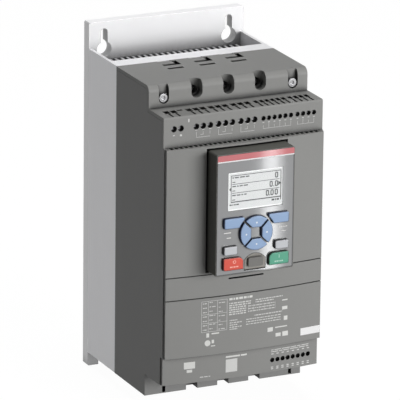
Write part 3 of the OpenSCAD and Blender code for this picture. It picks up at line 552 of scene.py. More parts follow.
@dataclass(frozen=True)
class SilverFilm(Finish):
    """Silver printed film under a clear gloss coat, with painted shade on two borders and near the keys, and
    painted light on faces that look left within the window's width.
    """

    metallic: float = 0.4
    rough: float = 0.07
    coat_rough: float = 0.05
    flake_mm: float = 0.25
    flake_depth_mm: float = 0.002
    flake_tone: float = 0.12
    cloud_mm: float = 50.0
    cloud_tone: float = 0.04
    edge_mm: float = 0.4
    painted_shade: RecessShade = RecessShade(3.0, 0.0, False, 0.2)
    right_mm: float = 36.0
    low_mm: float = 0.0
    border_mm: float = 0.9
    border_shade_tone: float = 0.35
    window_half_mm: float = 30.0
    painted_light_gain: float = 3.0

    def tone(self, shader: Shader, flake: Sock) -> Sock:
        """Brightness of the film: painted shade near the keys and on the right and bottom borders, and
        painted light on faces that look left within the window's width.

        Args:
            shader: Material under construction.
            flake: Sparkle of the flakes from 0 to 1.

        Returns:
            The brightness.
        """
        across = shader.axis("X")
        painted_light = (shader.part(shader.facing(), "X") < -SIDEWAYS) * (abs(across) < self.window_half_mm)
        foot = shader.axis("Z") < self.low_mm + self.border_mm
        shaded_border = (across > self.right_mm - self.border_mm).top(foot) * (1.0 - self.border_shade_tone)
        painted_light_and_shade = shader.painted_recess_shade(self.painted_shade).top(painted_light * self.painted_light_gain) * (1.0 - shaded_border)
        cloud = (shader.noise(self.cloud_mm) - 0.5) * self.cloud_tone
        return (1.0 + (flake - 0.5) * self.flake_tone + cloud) * painted_light_and_shade

    def sockets(self, shader: Shader) -> dict[str, Any]:
        """Metal flakes that sparkle a little under an even coat.

        Args:
            shader: Material under construction.

        Returns:
            Values and links of the Principled surface.
        """
        flake = shader.noise(self.flake_mm, 1.0)
        return {
            "Base Color": shader.tint(self.colour, self.tone(shader, flake)),
            "Metallic": self.metallic,
            "Roughness": self.rough + (flake - 0.5) * self.flake_tone,
            "Coat Weight": 1.0,
            "Coat Roughness": self.coat_rough,
            "Normal": shader.relief(flake, self.flake_depth_mm, self.edge_mm)}


@dataclass(frozen=True)
class Ink(Finish):
    """Print of one colour with a slightly uneven cover."""

    rough: float = 0.5
    coat: float = 0.0
    coat_ior: float = 1.5
    coat_rough: float = 0.06
    cover_mm: float = 0.6
    cover_tone: float = 0.14
    cover_shine: float = 0.1

    def sockets(self, shader: Shader) -> dict[str, Any]:
        """Small variations of cover in colour and sheen.

        Args:
            shader: Material under construction.

        Returns:
            Values and links of the Principled surface.
        """
        cover = shader.noise(self.cover_mm)
        return {
            "Base Color": shader.tint(self.colour, 1.0 + (cover - 0.5) * self.cover_tone),
            "Roughness": self.rough + (cover - 0.5) * self.cover_shine,
            "Coat Weight": self.coat,
            "Coat IOR": self.coat_ior,
            "Coat Roughness": self.coat_rough}


@dataclass(frozen=True)
class ScreenGlow(Finish):
    """White field of a display, with its fine grid of dots and a faint glow, partly backlight and partly
    painted light that lifts it from the recess's shade.
    """

    rough: float = 0.4
    dot_mm: float = 0.36
    gap_share: float = 0.12
    gap_tone: float = 0.06
    glow: float = 0.05

    def gap(self, shader: Shader, letter: str) -> Sock:
        """One in the gaps between the dots along an axis, zero on the dots."""
        return (shader.axis(letter) % self.dot_mm) < self.gap_share * self.dot_mm

    def sockets(self, shader: Shader) -> dict[str, Any]:
        """Dots of the grid that are a shade lighter than the gaps between them.

        Args:
            shader: Material under construction.

        Returns:
            Values and links of the Principled surface.
        """
        gaps = self.gap(shader, "X").top(self.gap(shader, "Z"))
        shown = shader.tint(self.colour, 1.0 - gaps * self.gap_tone)
        return {
            "Base Color": shown,
            "Roughness": self.rough,
            "Emission Color": shown,
            "Emission Strength": self.glow}


@dataclass(frozen=True)
class ClearLens(Finish):
    """Clear moulded window with faint smears."""

    rough: float = 0.05
    alpha: float = 0.04
    smear_mm: float = 9.0
    smear_shine: float = 0.06
    smear_alpha: float = 0.03

    def sockets(self, shader: Shader) -> dict[str, Any]:
        """Thin alpha, a glossy front and smears in its roughness.

        Args:
            shader: Material under construction.

        Returns:
            Values and links of the Principled surface.
        """
        smear = shader.noise(self.smear_mm, 4.0)
        return {
            "Base Color": self.colour,
            "Roughness": self.rough + smear * self.smear_shine,
            "Alpha": self.alpha + (smear - 0.5) * self.smear_alpha}


@dataclass(frozen=True)
class CircuitBoard(Finish):
    """Green solder mask over a comb of upright tracks, lighter where copper lies under it."""

    rough: float = 0.35
    track_mm: float = 2.4
    track_share: float = 0.35
    track_gain: float = 0.5
    track_depth_mm: float = 0.03
    wander_mm: float = 14.0
    wander_by_mm: float = 6.0
    mask_tone: float = 0.85
    weave_mm: float = 0.5
    weave_tone: float = 0.1
    edge_mm: float = 0.1

    def sockets(self, shader: Shader) -> dict[str, Any]:
        """Tracks in colour and relief, and the board's weave in colour and roughness.

        Args:
            shader: Material under construction.

        Returns:
            Values and links of the Principled surface.
        """
        across = shader.axis("X") + shader.noise(self.wander_mm) * self.wander_by_mm
        track = (across % self.track_mm) < self.track_share * self.track_mm
        weave = (shader.noise(self.weave_mm) - 0.5) * self.weave_tone
        return {
            "Base Color": shader.tint(self.colour, self.mask_tone + track * self.track_gain + weave),
            "Roughness": self.rough + weave,
            "Normal": shader.relief(track, self.track_depth_mm, self.edge_mm)}


class Paintbox:
    """Keeps one material for each finish and puts it on objects."""

    def __init__(self) -> None:
        """Starts with no material made."""
        self.made: dict[Finish, bpy.types.Material] = {}

    def coat(self, obj: bpy.types.Object, finish: Finish) -> None:
        """Gives an object a finish as its only material.

        Args:
            obj: Object to coat.
            finish: Its finish, whose material is made at its first use.
        """
        if finish not in self.made:
            self.made[finish] = finish.paint()
        obj.data.materials.clear()
        obj.data.materials.append(self.made[finish])

    def coat_nodes(self, finish: Finish, nodes: Iterable[str]) -> None:
        """Gives CAD nodes a finish.

        Args:
            finish: Finish of them all.
            nodes: Names of the nodes.
        """
        for node in nodes:
            self.coat(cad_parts[node], finish)
            LOG.info("%s: %s", node, finish.name)


PAINTBOX = Paintbox()


def numbered(name: str) -> list[str]:
    """Names of the three pieces that the phases share out."""
    return [f"{name}_{index}" for index in (1, 2, 3)]


def flat(node: str, sink_mm: float = 0.0) -> Depth:
    """Depth of a flat front, or so much behind it: the same at every place across."""
    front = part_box(node)[0].y + sink_mm * MM
    return lambda x: np.full_like(x, front)


def bowed(node: str, radius: float) -> Depth:
    """Depth of a bowed front: a circle's arc through its crown, with its axis upright behind it."""
    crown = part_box(node)[0].y
    return lambda x: crown + radius - np.sqrt(radius ** 2 - x ** 2)


def grid_quads(index: np.ndarray) -> np.ndarray:
    """Quads of grids of point numbers, whose last two axes are u and v: each joins four neighbours."""
    corners = (index[..., :-1, :-1], index[..., 1:, :-1], index[..., 1:, 1:], index[..., :-1, 1:])
    return np.stack(corners, axis=-1).reshape(-1, 4)


def linked(name: str, data: Any) -> bpy.types.Object:
    """Makes an object of a mesh, lamp or camera.

    Args:
        name: Name of the object.
        data: Its mesh, lamp or camera.

    Returns:
        The object, linked to the scene.
    """
    obj = bpy.data.objects.new(name, data)
    bpy.context.scene.collection.objects.link(obj)
    return obj


def mesh_object(name: str, points: np.ndarray, quads: np.ndarray) -> bpy.types.Object:
    """Makes an object from arrays and merges the points of closed seams.

    Args:
        name: Name of the object and its mesh.
        points: Array of places, one row for each point, in metres.
        quads: Array of point numbers, four to a row.

    Returns:
        The object, linked to the scene.
    """
    mesh = bpy.data.meshes.new(name)
    mesh.vertices.add(len(points))
    mesh.vertices.foreach_set("co", points.astype(np.float32).ravel())
    mesh.loops.add(quads.size)
    mesh.loops.foreach_set("vertex_index", quads.astype(np.int32).ravel())
    mesh.polygons.add(len(quads))
    mesh.polygons.foreach_set("loop_start", np.arange(0, quads.size, 4, dtype=np.int32))
    mesh.polygons.foreach_set("loop_total", np.full(len(quads), 4, dtype=np.int32))
    mesh.update(calc_edges=True)
    welded = bmesh.new()
    welded.from_mesh(mesh)
    bmesh.ops.remove_doubles(welded, verts=welded.verts, dist=WELD)
    welded.to_mesh(mesh)
    welded.free()
    mesh.shade_flat()
    return linked(name, mesh)


@dataclass
class Legend:
    """Print on one front: grids of points in X and height, laid on the front's depth."""

    name: str
    body: str
    finish: Finish
    ground: Depth
    lift: float = 0.05 * MM
    thickness: float = 0.04 * MM
    step_mm: float = 6.0
    ring_points: int = 33
    disc_points: int = 7
    grids: list[np.ndarray] = field(default_factory=list)

    def bars(self, spans: Rows) -> "Legend":
        """Adds straight bars.

        Each bar is a grid: u runs evenly across from x0 to x1 and v from its lower to its upper edge.

        Args:
            spans: Rows of x0, x1, z0, z1 in millimetres, heights above the plate's foot.

        Returns:
            The legend, for more marks.
        """
        x0, x1, z0, z1 = (np.asarray(column, float)[:, None, None] for column in zip(*spans))
        steps = 2 + int(np.max(x1 - x0) // self.step_mm)
        u = np.linspace(0.0, 1.0, steps)[None, :, None]
        v = np.linspace(0.0, 1.0, 2)[None, None, :]
        x = x0 + (x1 - x0) * u + 0.0 * v
        z = z0 + (z1 - z0) * v + 0.0 * u
        self.grids.append(np.stack((x, z), axis=-1))
        return self

    def repeat(self, centres: Rows, unit: np.ndarray) -> "Legend":
        """Adds one grid of points at each of several centres."""
        self.grids.append(np.asarray(centres, float)[:, None, None, :] + unit[None])
        return self

    def rings(self, centres: Rows, size: Sequence[float], stroke: float, power: float) -> "Legend":
        """Adds rings such as a round digit.

        Each ring is a grid: u goes round a superellipse, whose x and z are signed powers of cosine and
        sine, and v goes from the outer edge in by the stroke.

        Args:
            centres: Rows of x and z in millimetres.
            size: Half width and half height in millimetres.
            stroke: Width of the line in millimetres.
            power: Exponent of the superellipse, 2 for an ellipse.

        Returns:
            The legend, for more marks.
        """
        angle = np.linspace(0.0, 2.0 * np.pi, self.ring_points)[:, None]
        inset = np.array((0.0, stroke))[None, :, None]
        wave = np.stack((np.cos(angle), np.sin(angle)), axis=-1)
        unit = np.sign(wave) * np.abs(wave) ** (2.0 / power)
        return self.repeat(centres, unit * (np.asarray(size, float) - inset))

    def discs(self, centres: Rows, radius: float) -> "Legend":
        """Adds round dots.

        Each dot is a square grid of u and v from -1 to 1 pushed onto a circle: x is u times the root of
        one less half of v squared, and z is v times the root of one less half of u squared.

        Args:
            centres: Rows of x and z in millimetres.
            radius: Radius of the dots in millimetres.

        Returns:
            The legend, for more marks.
        """
        line = np.linspace(-1.0, 1.0, self.disc_points)
        u, v = np.meshgrid(line, line, indexing="ij")
        unit = np.stack((u * np.sqrt(1.0 - v ** 2 / 2.0), v * np.sqrt(1.0 - u ** 2 / 2.0)), axis=-1)
        return self.repeat(centres, radius * unit)

    def wedges(self, centres: Rows, length: float, half: float) -> "Legend":
        """Adds pointers that taper from a full edge to a point.

        Each pointer is a grid: u runs from the edge nearly to the point and v across it, times one less u.

        Args:
            centres: Rows of x and z of the edge's middle in millimetres.
            length: Length in millimetres, negative to point left.
            half: Half of the edge's height in millimetres.

        Returns:
            The legend, for more marks.
        """
        turn = math.copysign(1.0, length)
        u, v = np.meshgrid(np.linspace(0.0, TIP_SHARE, 5), np.linspace(-turn, turn, 3), indexing="ij")
        return self.repeat(centres, np.stack((u * length, v * half * (1.0 - u)), axis=-1))

    def build(self) -> bpy.types.Object:
        """Lays all marks on the front as one piece and coats it.

        Each point goes to the ground's depth at its place across, less the lift.

        Returns:
            The finished piece, which rides on its body.
        """
        quads, first = [], 0
        for grid in self.grids:
            count = grid[..., 0].size
            quads.append(grid_quads(np.arange(first, first + count).reshape(grid.shape[:3])))
            first += count
        across, height = np.concatenate([grid.reshape(-1, 2) for grid in self.grids]).T * MM
        points = np.stack((across, self.ground(across) - self.lift, CAD_LOW.z + height), axis=-1)
        obj = mesh_object(self.name, points, np.concatenate(quads))
        shell = obj.modifiers.new("thickness", "SOLIDIFY")
        shell.thickness = self.thickness
        PAINTBOX.coat(obj, self.finish)
        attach(obj, self.body)
        LOG.info("%s: %d faces on %s", self.name, len(obj.data.polygons), self.body)
        return obj


WHITE_INK = Ink("white_ink", srgb(214, 214, 211))
PALE_INK = Ink("pale_ink", srgb(206, 206, 204))
LABEL_WHITE = Ink("label_white", srgb(234, 234, 234), 0.4)
DARK_INK = Ink("dark_ink", srgb(38, 42, 45))
STOP_INK = Ink("stop_ink", srgb(240, 178, 166))
START_INK = Ink("start_ink", srgb(176, 212, 196))
STRIPE_RED = Ink("stripe_red", srgb(182, 62, 70), 0.35, 1.0, 1.9)
# The recess settings of these plastics set how far painted shade darkens their recesses.
PANEL_GREY = MouldedPlastic("panel_grey", srgb(135, 135, 133), painted_shade=RecessShade(closed=0.45))
COVER_GREY = MouldedPlastic("cover_grey", srgb(135, 135, 133),
                            painted_shade=RecessShade(10.0, alone=False, closed=0.42))
HOUSING_GREY = NotchedPlastic("housing_grey", srgb(129, 129, 128),
                              painted_shade=RecessShade(10.0, alone=False, closed=0.1, full=0.55))
SCREW_STEEL = BareMetal("screw_steel", srgb(182, 182, 184), 1.0, 0.24, 0.2, EVEN)
BLACK_STEEL = BareMetal("black_steel", srgb(150, 150, 152), 1.0, 0.45, 0.2, EVEN)

WORD_LEAST = 0.6
WORD_TURN = 2.3
WORD_GAP_MM = 0.9
WORD_GAP_SHARE = 0.25


def text_row(x0: float, x1: float, z: float, tall: float, words: int, seed: int) -> Spans:
    """Row of small bars that stands for a line of print.

    A bar's length goes with a least share plus the size of a sine that turns from word to word.

    Args:
        x0: Left end in millimetres.
        x1: Right end in millimetres.
        z: Height of the row's middle in millimetres.
        tall: Height of the bars in millimetres.
        words: Number of bars.
        seed: Number that sets the bars' lengths.

    Returns:
        Spans of the bars.
    """
    share = WORD_LEAST + np.abs(np.sin(np.arange(words) * WORD_TURN + seed))
    ends = x0 + (x1 - x0) * np.concatenate(([0.0], np.cumsum(share) / share.sum()))
    gap = min(WORD_GAP_MM, WORD_GAP_SHARE * (x1 - x0) / words)
    return [[left, right - gap, z - tall / 2, z + tall / 2] for left, right in zip(ends[:-1], ends[1:])]


Coats = tuple[tuple[Finish, Sequence[str]], ...]


@dataclass
class Assembly:
    """Group of pieces: the finishes of its CAD nodes, and its print if it has any."""

    coats: Coats = ()

    def dress(self) -> None:
        """Gives each CAD node its finish."""
        for finish, nodes in self.coats:
            PAINTBOX.coat_nodes(finish, nodes)

    def mark(self) -> None:
        """Lays the printed pieces; a plain group has none."""

    def build(self) -> None:
        """Dresses the group and lays its print."""
        self.dress()
        self.mark()


@dataclass
class MountingFrame(Assembly):
    """Wall plate and finned heatsink."""

    coats: Coats = (
        (PlateMetal("plate_metal", srgb(194, 194, 195), 0.6, 0.42, top_mm=CAD_HIGH.z / MM),
         ["mounting_plate"]),
        (FinMetal("heatsink_metal", srgb(243, 243, 245), 0.3, 0.5), ["heatsink"]),
        (SCREW_STEEL, ["plate_screws"]))


@dataclass
class Housing(Assembly):
    """Moulded housing with its covers and the print on the main panel and the lower cover."""

    coats: Coats = (
        (HOUSING_GREY, ["base_housing"]),
        (COVER_GREY, ["upper_cover", "control_cover", "lower_cover"]),
        (PANEL_GREY, ["front_cover"]),
        (SCREW_STEEL, ["cover_screws"]))
    bow_mm: float = 4.5
    half_mm: float = 74.0
    step_mm: float = 4.9

    def radius(self) -> float:
        """Radius of the panel's bow: half width squared plus bow squared, over twice the bow."""
        return (self.half_mm ** 2 + self.bow_mm ** 2) / (2.0 * self.bow_mm) * MM

    def panel(self) -> Depth:
        """Depth of the main panel's front."""
        return bowed("front_cover", self.radius())

    def foot(self) -> Depth:
        """Depth of the lower cover's front."""
        return bowed("lower_cover", self.radius() - self.step_mm * MM)

    def rating_table(self) -> Spans:
        """Lines and words of the ruled table at the rating print's left.

        Returns:
            Spans of the bars.
        """
        left, right, low, high, half_line = -41.2, -17.6, 79.6, 107.4, 0.14
        uprights = (left, left + 6.2, left + 14.6, right)
        rows = np.linspace(low, high, 8)
        spans = [[x - half_line, x + half_line, low, high] for x in uprights]
        spans += [[left, right, z - half_line, z + half_line] for z in rows[[0, 2, 4, 7]]]
        for number, z in enumerate(rows[:-1] + 0.5 * (rows[1] - rows[0])):
            spans += text_row(left + 1.2, left + 5.4, z, 0.8, 2, number)
            spans += text_row(left + 7.2, left + 10.6 + 3.0 * (number % 2), z + 0.7, 0.7, 2, number + 1)
            spans += text_row(left + 15.8, right - 1.2 - 2.4 * (number % 3), z - 0.5, 0.7, 2, number + 3)
        return spans

    def rating_text(self) -> Spans:
        """Rows of small print and ruled cells at the rating print's right.

        Returns:
            Spans of the bars.
        """
        spans = []
        for number, z in enumerate((102.9, 100.9, 98.9, 96.9, 94.9, 92.9)):
            spans += text_row(-15.6, 5.6 - 4.6 * (number > 1), z, 1.1, 8 - number % 3, number)
        for number, z in enumerate((103.2, 101.2)):
            spans += text_row(9.4, 36.4 - 9.0 * number, z, 0.9, 11 - 3 * number, number + 2)
        for number, z in enumerate((98.4, 96.0, 93.6)):
            spans += text_row(2.6, 28.4, z, 0.8, 10, number + 1)
        spans += [[2.4 + 5.2 * cell, 2.6 + 5.2 * cell, 92.6, 99.4] for cell in range(6)]
        spans += text_row(8.6, 36.0, 89.2, 0.9, 12, 3)
        for number, z in enumerate((87.4, 85.2, 83.2, 81.2, 79.4)):
            spans += text_row(-15.0, -7.4 + 4.4 * (number % 2), z, 0.9, 5, number + 6)
        for number, z in enumerate((86.4, 84.2, 82.0)):
            spans += text_row(0.6, 34.6, z, 0.8, 13, number + 2)
        return spans

    def rating_blocks(self) -> Spans:
        """Plain blocks round the rating print.

        Returns:
            Spans of the blocks.
        """
        return [[35.4, 40.6, 98.6, 99.6], [35.4, 40.6, 90.4, 93.4], [37.2, 40.8, 80.6, 84.4],
                [21.4, 26.6, 72.0, 75.8], [28.8, 40.6, 74.6, 75.6], [29.4, 34.4, 66.6, 69.8],
                [36.0, 41.6, 66.2, 70.4], [-36.6, -34.0, 74.6, 78.4], [-31.8, -24.8, 77.0, 78.2],
                [-31.6, -29.4, 68.8, 72.0], [-32.2, -28.4, 66.0, 66.9]]

    def print_panel(self) -> None:
        """Lays the rating print and the blank label on the main panel."""
        panel = self.panel()
        fine = Legend("rating_print", "unit", PALE_INK, panel)
        fine.bars(self.rating_table()).bars(self.rating_text()).build()
        head = Legend("rating_head", "unit", WHITE_INK, panel)
        head.bars(text_row(-15.6, 7.2, 106.8, 1.9, 7, 1)).build()
        bold = Legend("rating_blocks", "unit", WHITE_INK, panel)
        bold.bars(self.rating_blocks()).discs([(-35.4, 69.4)], 2.7).build()
        Legend("blank_label", "unit", LABEL_WHITE, panel).bars([(54.2, 73.7, 63.7, 70.2)]).build()

    def print_foot(self) -> None:
        """Lays the marks of the lower cover."""
        foot = self.foot()
        marks = Legend("lower_marks", "unit", WHITE_INK, foot)
        marks.bars([(-54.6, -44.4, 46.0, 52.2), (-52.0, -47.0, 42.6, 45.2)])
        marks.bars(text_row(-15.9, 4.9, 52.7, 1.5, 2, 4)).build()
        Legend("code_field", "unit", PALE_INK, foot).bars([(-15.8, -4.9, 38.6, 50.4)]).build()
        small = Legend("lower_print", "unit", PALE_INK, foot)
        small.bars(text_row(-39.8, -29.4, 37.2, 0.8, 3, 2))
        for number, z in enumerate((52.9, 51.3)):
            small.bars(text_row(27.8, 66.0, z, 0.7, 6, number))
        for z in (49.3, 37.2, 35.6):
            small.bars([[x - 1.1, x + 1.1, z - 0.45, z + 0.45] for x in 29.05 + 5.1 * np.arange(8)])
        small.build()

    def mark(self) -> None:
        """Lays the print of the panel and of the lower cover."""
        self.print_panel()
        self.print_foot()


@dataclass(frozen=True)
class PinGroup:
    """Row of terminals: its middle, its number of pins and their pitch, in millimetres."""

    centre: float
    pins: int
    pitch: float

    def pair_lines(self) -> Spans:
        """Signs of a supply: a short bar under each of two pins."""
        return [[self.centre - 4.2, self.centre - 2.4, 256.4, 257.2],
                [self.centre + 2.4, self.centre + 4.2, 255.6, 257.2]]

    def contact_lines(self) -> Spans:
        """Diagram of a change-over contact: a bracket under three pins with a short blade.

        Returns:
            Spans of the bars.
        """
        line, low, high = 0.3, 252.6, 257.6
        blade = low + 2.2
        left, centre, right = self.centre - self.pitch, self.centre, self.centre + self.pitch
        spans = [[left, left + line, low, high], [left, right, low, low + line],
                 [right - line, right, blade, high], [centre - 2.6, centre, blade, blade + line],
                 [centre - line / 2, centre + line / 2, blade + 0.2, high]]
        return spans + [[x - 0.9, x + 1.1, 259.0, 259.6] for x in (left, centre, right)]

    def signal_lines(self) -> Spans:
        """Diagram of a signal group: a common line with a tick for each pin.

        Returns:
            Spans of the bars.
        """
        line, low = 0.28, 253.2
        places = self.centre + (np.arange(self.pins) - (self.pins - 1) / 2) * self.pitch
        spans = [[x - line / 2, x + line / 2, low, low + 3.0 + 1.4 * (i % 2)] for i, x in enumerate(places)]
        spans += [[x - 0.8, x + 0.8, 258.4, 259.0] for x in places]
        return spans + [[places[0], places[-1], low, low + line]]

    def lines(self) -> Spans:
        """Diagram that goes with the number of pins."""
        kinds = {2: self.pair_lines, 3: self.contact_lines}
        return kinds.get(self.pins, self.signal_lines)()


@dataclass
class Terminals(Assembly):
    """Control terminals and the contact diagrams beside them."""

    coats: Coats = (
        (MouldedPlastic("terminal_black", srgb(22, 22, 23), 0.45, painted_shade=RecessShade(10.0, alone=False)),
         ["relay_block", "signal_block", "lower_block", "keypad_socket"]),
        (BLACK_STEEL, ["relay_block_screws", "signal_block_screws", "lower_block_screws", "clamp_screws"]))
    groups: tuple[PinGroup, ...] = (
        PinGroup(-62.1, 2, 6.5), PinGroup(-38.05, 3, 6.5), PinGroup(-17.3, 3, 6.5),
        PinGroup(3.7, 3, 6.5), PinGroup(31.6, 6, 5.2), PinGroup(58.8, 4, 5.2))

    def mark(self) -> None:
        """Lays the diagrams and one upright mark on the control front."""
        diagrams = Legend("contact_diagrams", "unit", PALE_INK, flat("control_cover"))
        for group in self.groups:
            diagrams.bars(group.lines())
        diagrams.bars([(-52.2, -51.0, 267.2, 270.0)]).build()


@dataclass
class PowerStage(Assembly):
    """Power parts and boards inside the housing."""

    coats: Coats = (
        (MouldedPlastic("module_black", srgb(52, 53, 56), 0.4), numbered("thyristor_module")),
        (MouldedPlastic("relay_ivory", srgb(214, 208, 190), 0.4), numbered("bypass_relay")),
        (MouldedPlastic("coil_blue", srgb(52, 84, 132), 0.4), numbered("current_coil")),
        (BareMetal("tinned_copper", srgb(132, 129, 122), 1.0, 0.42),
         numbered("line_busbar") + numbered("load_busbar")),
        (BareMetal("clamp_steel", srgb(96, 96, 95), 1.0, 0.45),
         numbered("line_clamp") + numbered("load_clamp")),
        (CircuitBoard("board_green", srgb(24, 92, 58)), ["power_board", "control_board", "keypad_board"]),
        (SCREW_STEEL, ["board_pillars"]))


class KeyTint(Enum):
    """Colours of a key: its front, and a darker copy for its flank and edges that is painted shade."""

    BLUE = (srgb(140, 166, 201), srgb(34, 48, 84))
    GREY = (srgb(191, 193, 197), srgb(66, 66, 70))
    RED = (srgb(212, 76, 58), srgb(88, 22, 18))
    GREEN = (srgb(78, 158, 130), srgb(14, 58, 40))


@dataclass
class Keypad(Assembly):
    """Plug-in keypad with display, keys and service flap."""

    coats: Coats = (
        # The case's black behind the panel's front is painted shade of its pocket, and its rim colour is a
        # painted highlight.
        (CasePlastic("keypad_dark", srgb(16, 16, 16), 0.45, front_colour=srgb(84, 84, 79), front_mm=-178.4,
                     step_mm=1.6, painted_highlight_colour=srgb(108, 108, 104),
                     rim_front_mm=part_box("keypad_case")[0].y / MM),
         ["keypad_case", "keypad_plug"]),
        (SilverFilm("silver_film", srgb(139, 140, 141), right_mm=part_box("keypad_face")[1].x / MM,
                    low_mm=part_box("keypad_face")[0].z / MM), ["keypad_face"]),
        (ClearLens("clear_lens", srgb(245, 247, 248)), ["display_lens"]),
        # The frame's stronger glow is painted light that lifts it from the shade of its recess.
        (ScreenGlow("display_frame", srgb(246, 247, 247), glow=0.2), ["display_module"]),
        (MouldedPlastic("mat_rubber", srgb(60, 60, 62), 0.7), ["key_mat"]),
        (BareMetal("port_steel", srgb(200, 200, 202), 1.0, 0.3), ["service_port"]),
        (StepPlastic("flap_grey", srgb(146, 143, 137), front_colour=srgb(114, 113, 110),
                     front_mm=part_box("port_flap")[0].y / MM), ["port_flap"]))
    screen: Finish = ScreenGlow("display_white", srgb(224, 226, 226))
    keys: tuple[tuple[KeyTint, tuple[str, ...]], ...] = (
        (KeyTint.BLUE, ("soft_key_left", "soft_key_right", "arrow_key_up", "arrow_key_left",
                        "arrow_key_down", "arrow_key_right")),
        (KeyTint.GREY, ("help_key", "mode_key")),
        (KeyTint.RED, ("stop_key",)),
        (KeyTint.GREEN, ("start_key",)))
    half_mm: float = 36.0
    corner_mm: float = 0.9
    top_mm: float = 241.9
    stripe_mm: float = 236.7
    stripe_points: tuple[int, int] = (25, 13)
    screen_sink_mm: float = 0.3
    picture_lift: float = 0.1 * MM
    key_lift: float = 0.02 * MM

    def dress(self) -> None:
        """Gives the case and what it holds their finishes, then each key the colours of its kind, with
        painted shade on its flank and edges.
        """
        super().dress()
        for tint, names in self.keys:
            front, shaded_flank = tint.value
            cap = StepPlastic(f"key_{tint.name.lower()}", shaded_flank, rough=0.34, specular=0.5, edge_mm=1.6,
                              front_colour=front, front_mm=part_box(names[0])[0].y / MM, shaded_rim_share=0.85)
            PAINTBOX.coat_nodes(cap, names)

    def stripe_grid(self, low: float, high: float) -> np.ndarray:
        """Grid of a stripe across the face whose ends follow the face's round corners.

        The half width at a height is the face's half width, less the corner radius, plus the root of
        that radius squared less the height above the corner's centre squared.

        Args:
            low: Lower edge in millimetres.
            high: Upper edge in millimetres.

        Returns:
            The grid of X and height in millimetres.
        """
        across, upward = self.stripe_points
        u = np.linspace(-1.0, 1.0, across)[:, None]
        z = np.linspace(low, high, upward)[None, :]
        above = np.clip(z - (self.top_mm - self.corner_mm), 0.0, self.corner_mm)
        half = self.half_mm - self.corner_mm + np.sqrt(self.corner_mm ** 2 - above ** 2)
        return np.stack((u * half, z + 0.0 * u), axis=-1)[None]

    def print_face(self) -> None:
        """Lays the stripe and the small print on the silver face."""
        face = flat("keypad_face")
        stripe = Legend("red_stripe", "keypad", STRIPE_RED, face)
        stripe.grids.append(self.stripe_grid(self.stripe_mm, self.top_mm - 0.02))
        stripe.build()
        line = Legend("white_line", "keypad", LABEL_WHITE, face)
        half = self.half_mm - 0.1
        line.bars([(-half, half, self.stripe_mm - 1.0, self.stripe_mm - 0.05)]).build()
        small = Legend("key_captions", "keypad", WHITE_INK, face)
        small.bars(text_row(-29.6, -22.0, 172.8, 0.9, 1, 2) + text_row(-26.8, -22.0, 168.2, 0.9, 1, 2))
        small.bars(text_row(23.0, 31.0, 172.4, 0.7, 1, 2) + text_row(24.6, 30.0, 168.4, 0.7, 1, 2)).build()

    def show_display(self) -> None:
        """Lays the display's white field, its lines, bars and digits under the lens."""
        ground = flat("display_module", self.screen_sink_mm)
        white = Legend("display_field", "keypad", self.screen, ground)
        white.bars([(-24.6, 24.6, 192.8, 224.6)]).build()
        lines = Legend("display_lines", "keypad", DARK_INK, ground, self.picture_lift)
        lines.bars([(-22.8, 24.5, 222.4, 223.0), (-22.8, 24.5, 198.9, 199.8), (23.8, 24.5, 196.4, 223.0),
                    (-22.8, -22.3, 199.6, 222.6), (-21.8, 22.8, 214.9, 215.4), (-21.8, 22.8, 207.0, 207.5)])
        for number, z in enumerate((220.9, 213.2, 205.2)):
            lines.bars(text_row(-21.6, -4.8 - 1.2 * number, z, 1.0, 4, number))
            lines.bars([(-21.6, -18.8, z - 4.3, z - 3.6)])
        lines.bars(text_row(-24.0, -14.6, 196.9, 1.1, 4, 1) + text_row(15.6, 23.2, 197.1, 1.6, 3, 1))
        lines.wedges([(-22.6, 210.8)], -2.0, 2.0).wedges([(21.8, 211.4)], 2.4, 2.0).build()
        digits = Legend("display_digits", "keypad", DARK_INK, ground, self.picture_lift)
        zeros = [(20.0, 219.0), (20.0, 211.4), (15.0, 211.4), (20.0, 203.8), (16.0, 203.8), (11.6, 203.8)]
        digits.rings(zeros, (1.5, 2.6), 0.92, 3.6).discs([(17.5, 209.3), (13.8, 201.7)], 0.5).build()

    def mark_keys(self) -> None:
        """Lays a light dot on each arrow key and plain symbols on the stop and start keys."""
        dots = {"up": (0.0, 179.9), "left": (-9.7, 170.3), "down": (0.0, 160.7), "right": (9.7, 170.3)}
        for name, place in dots.items():
            key = f"arrow_key_{name}"
            Legend(f"dot_{name}", key, LABEL_WHITE, flat(key), self.key_lift).discs([place], 0.75).build()
        stop = Legend("stop_symbol", "stop_key", STOP_INK, flat("stop_key"), self.key_lift)
        stop.rings([(-20.6, 147.2)], (1.5, 1.5), 0.5, 2.0)
        stop.bars(text_row(-24.8, -16.4, 142.8, 1.1, 4, 1)).build()
        start = Legend("start_symbol", "start_key", START_INK, flat("start_key"), self.key_lift)
        start.bars([(21.3, 21.9, 145.8, 148.6)]).bars(text_row(17.4, 25.8, 142.8, 1.1, 5, 2)).build()

    def mark(self) -> None:
        """Lays the print of the face, the display's picture and the marks of the keys."""
        self.print_face()
        self.show_display()
        self.mark_keys()


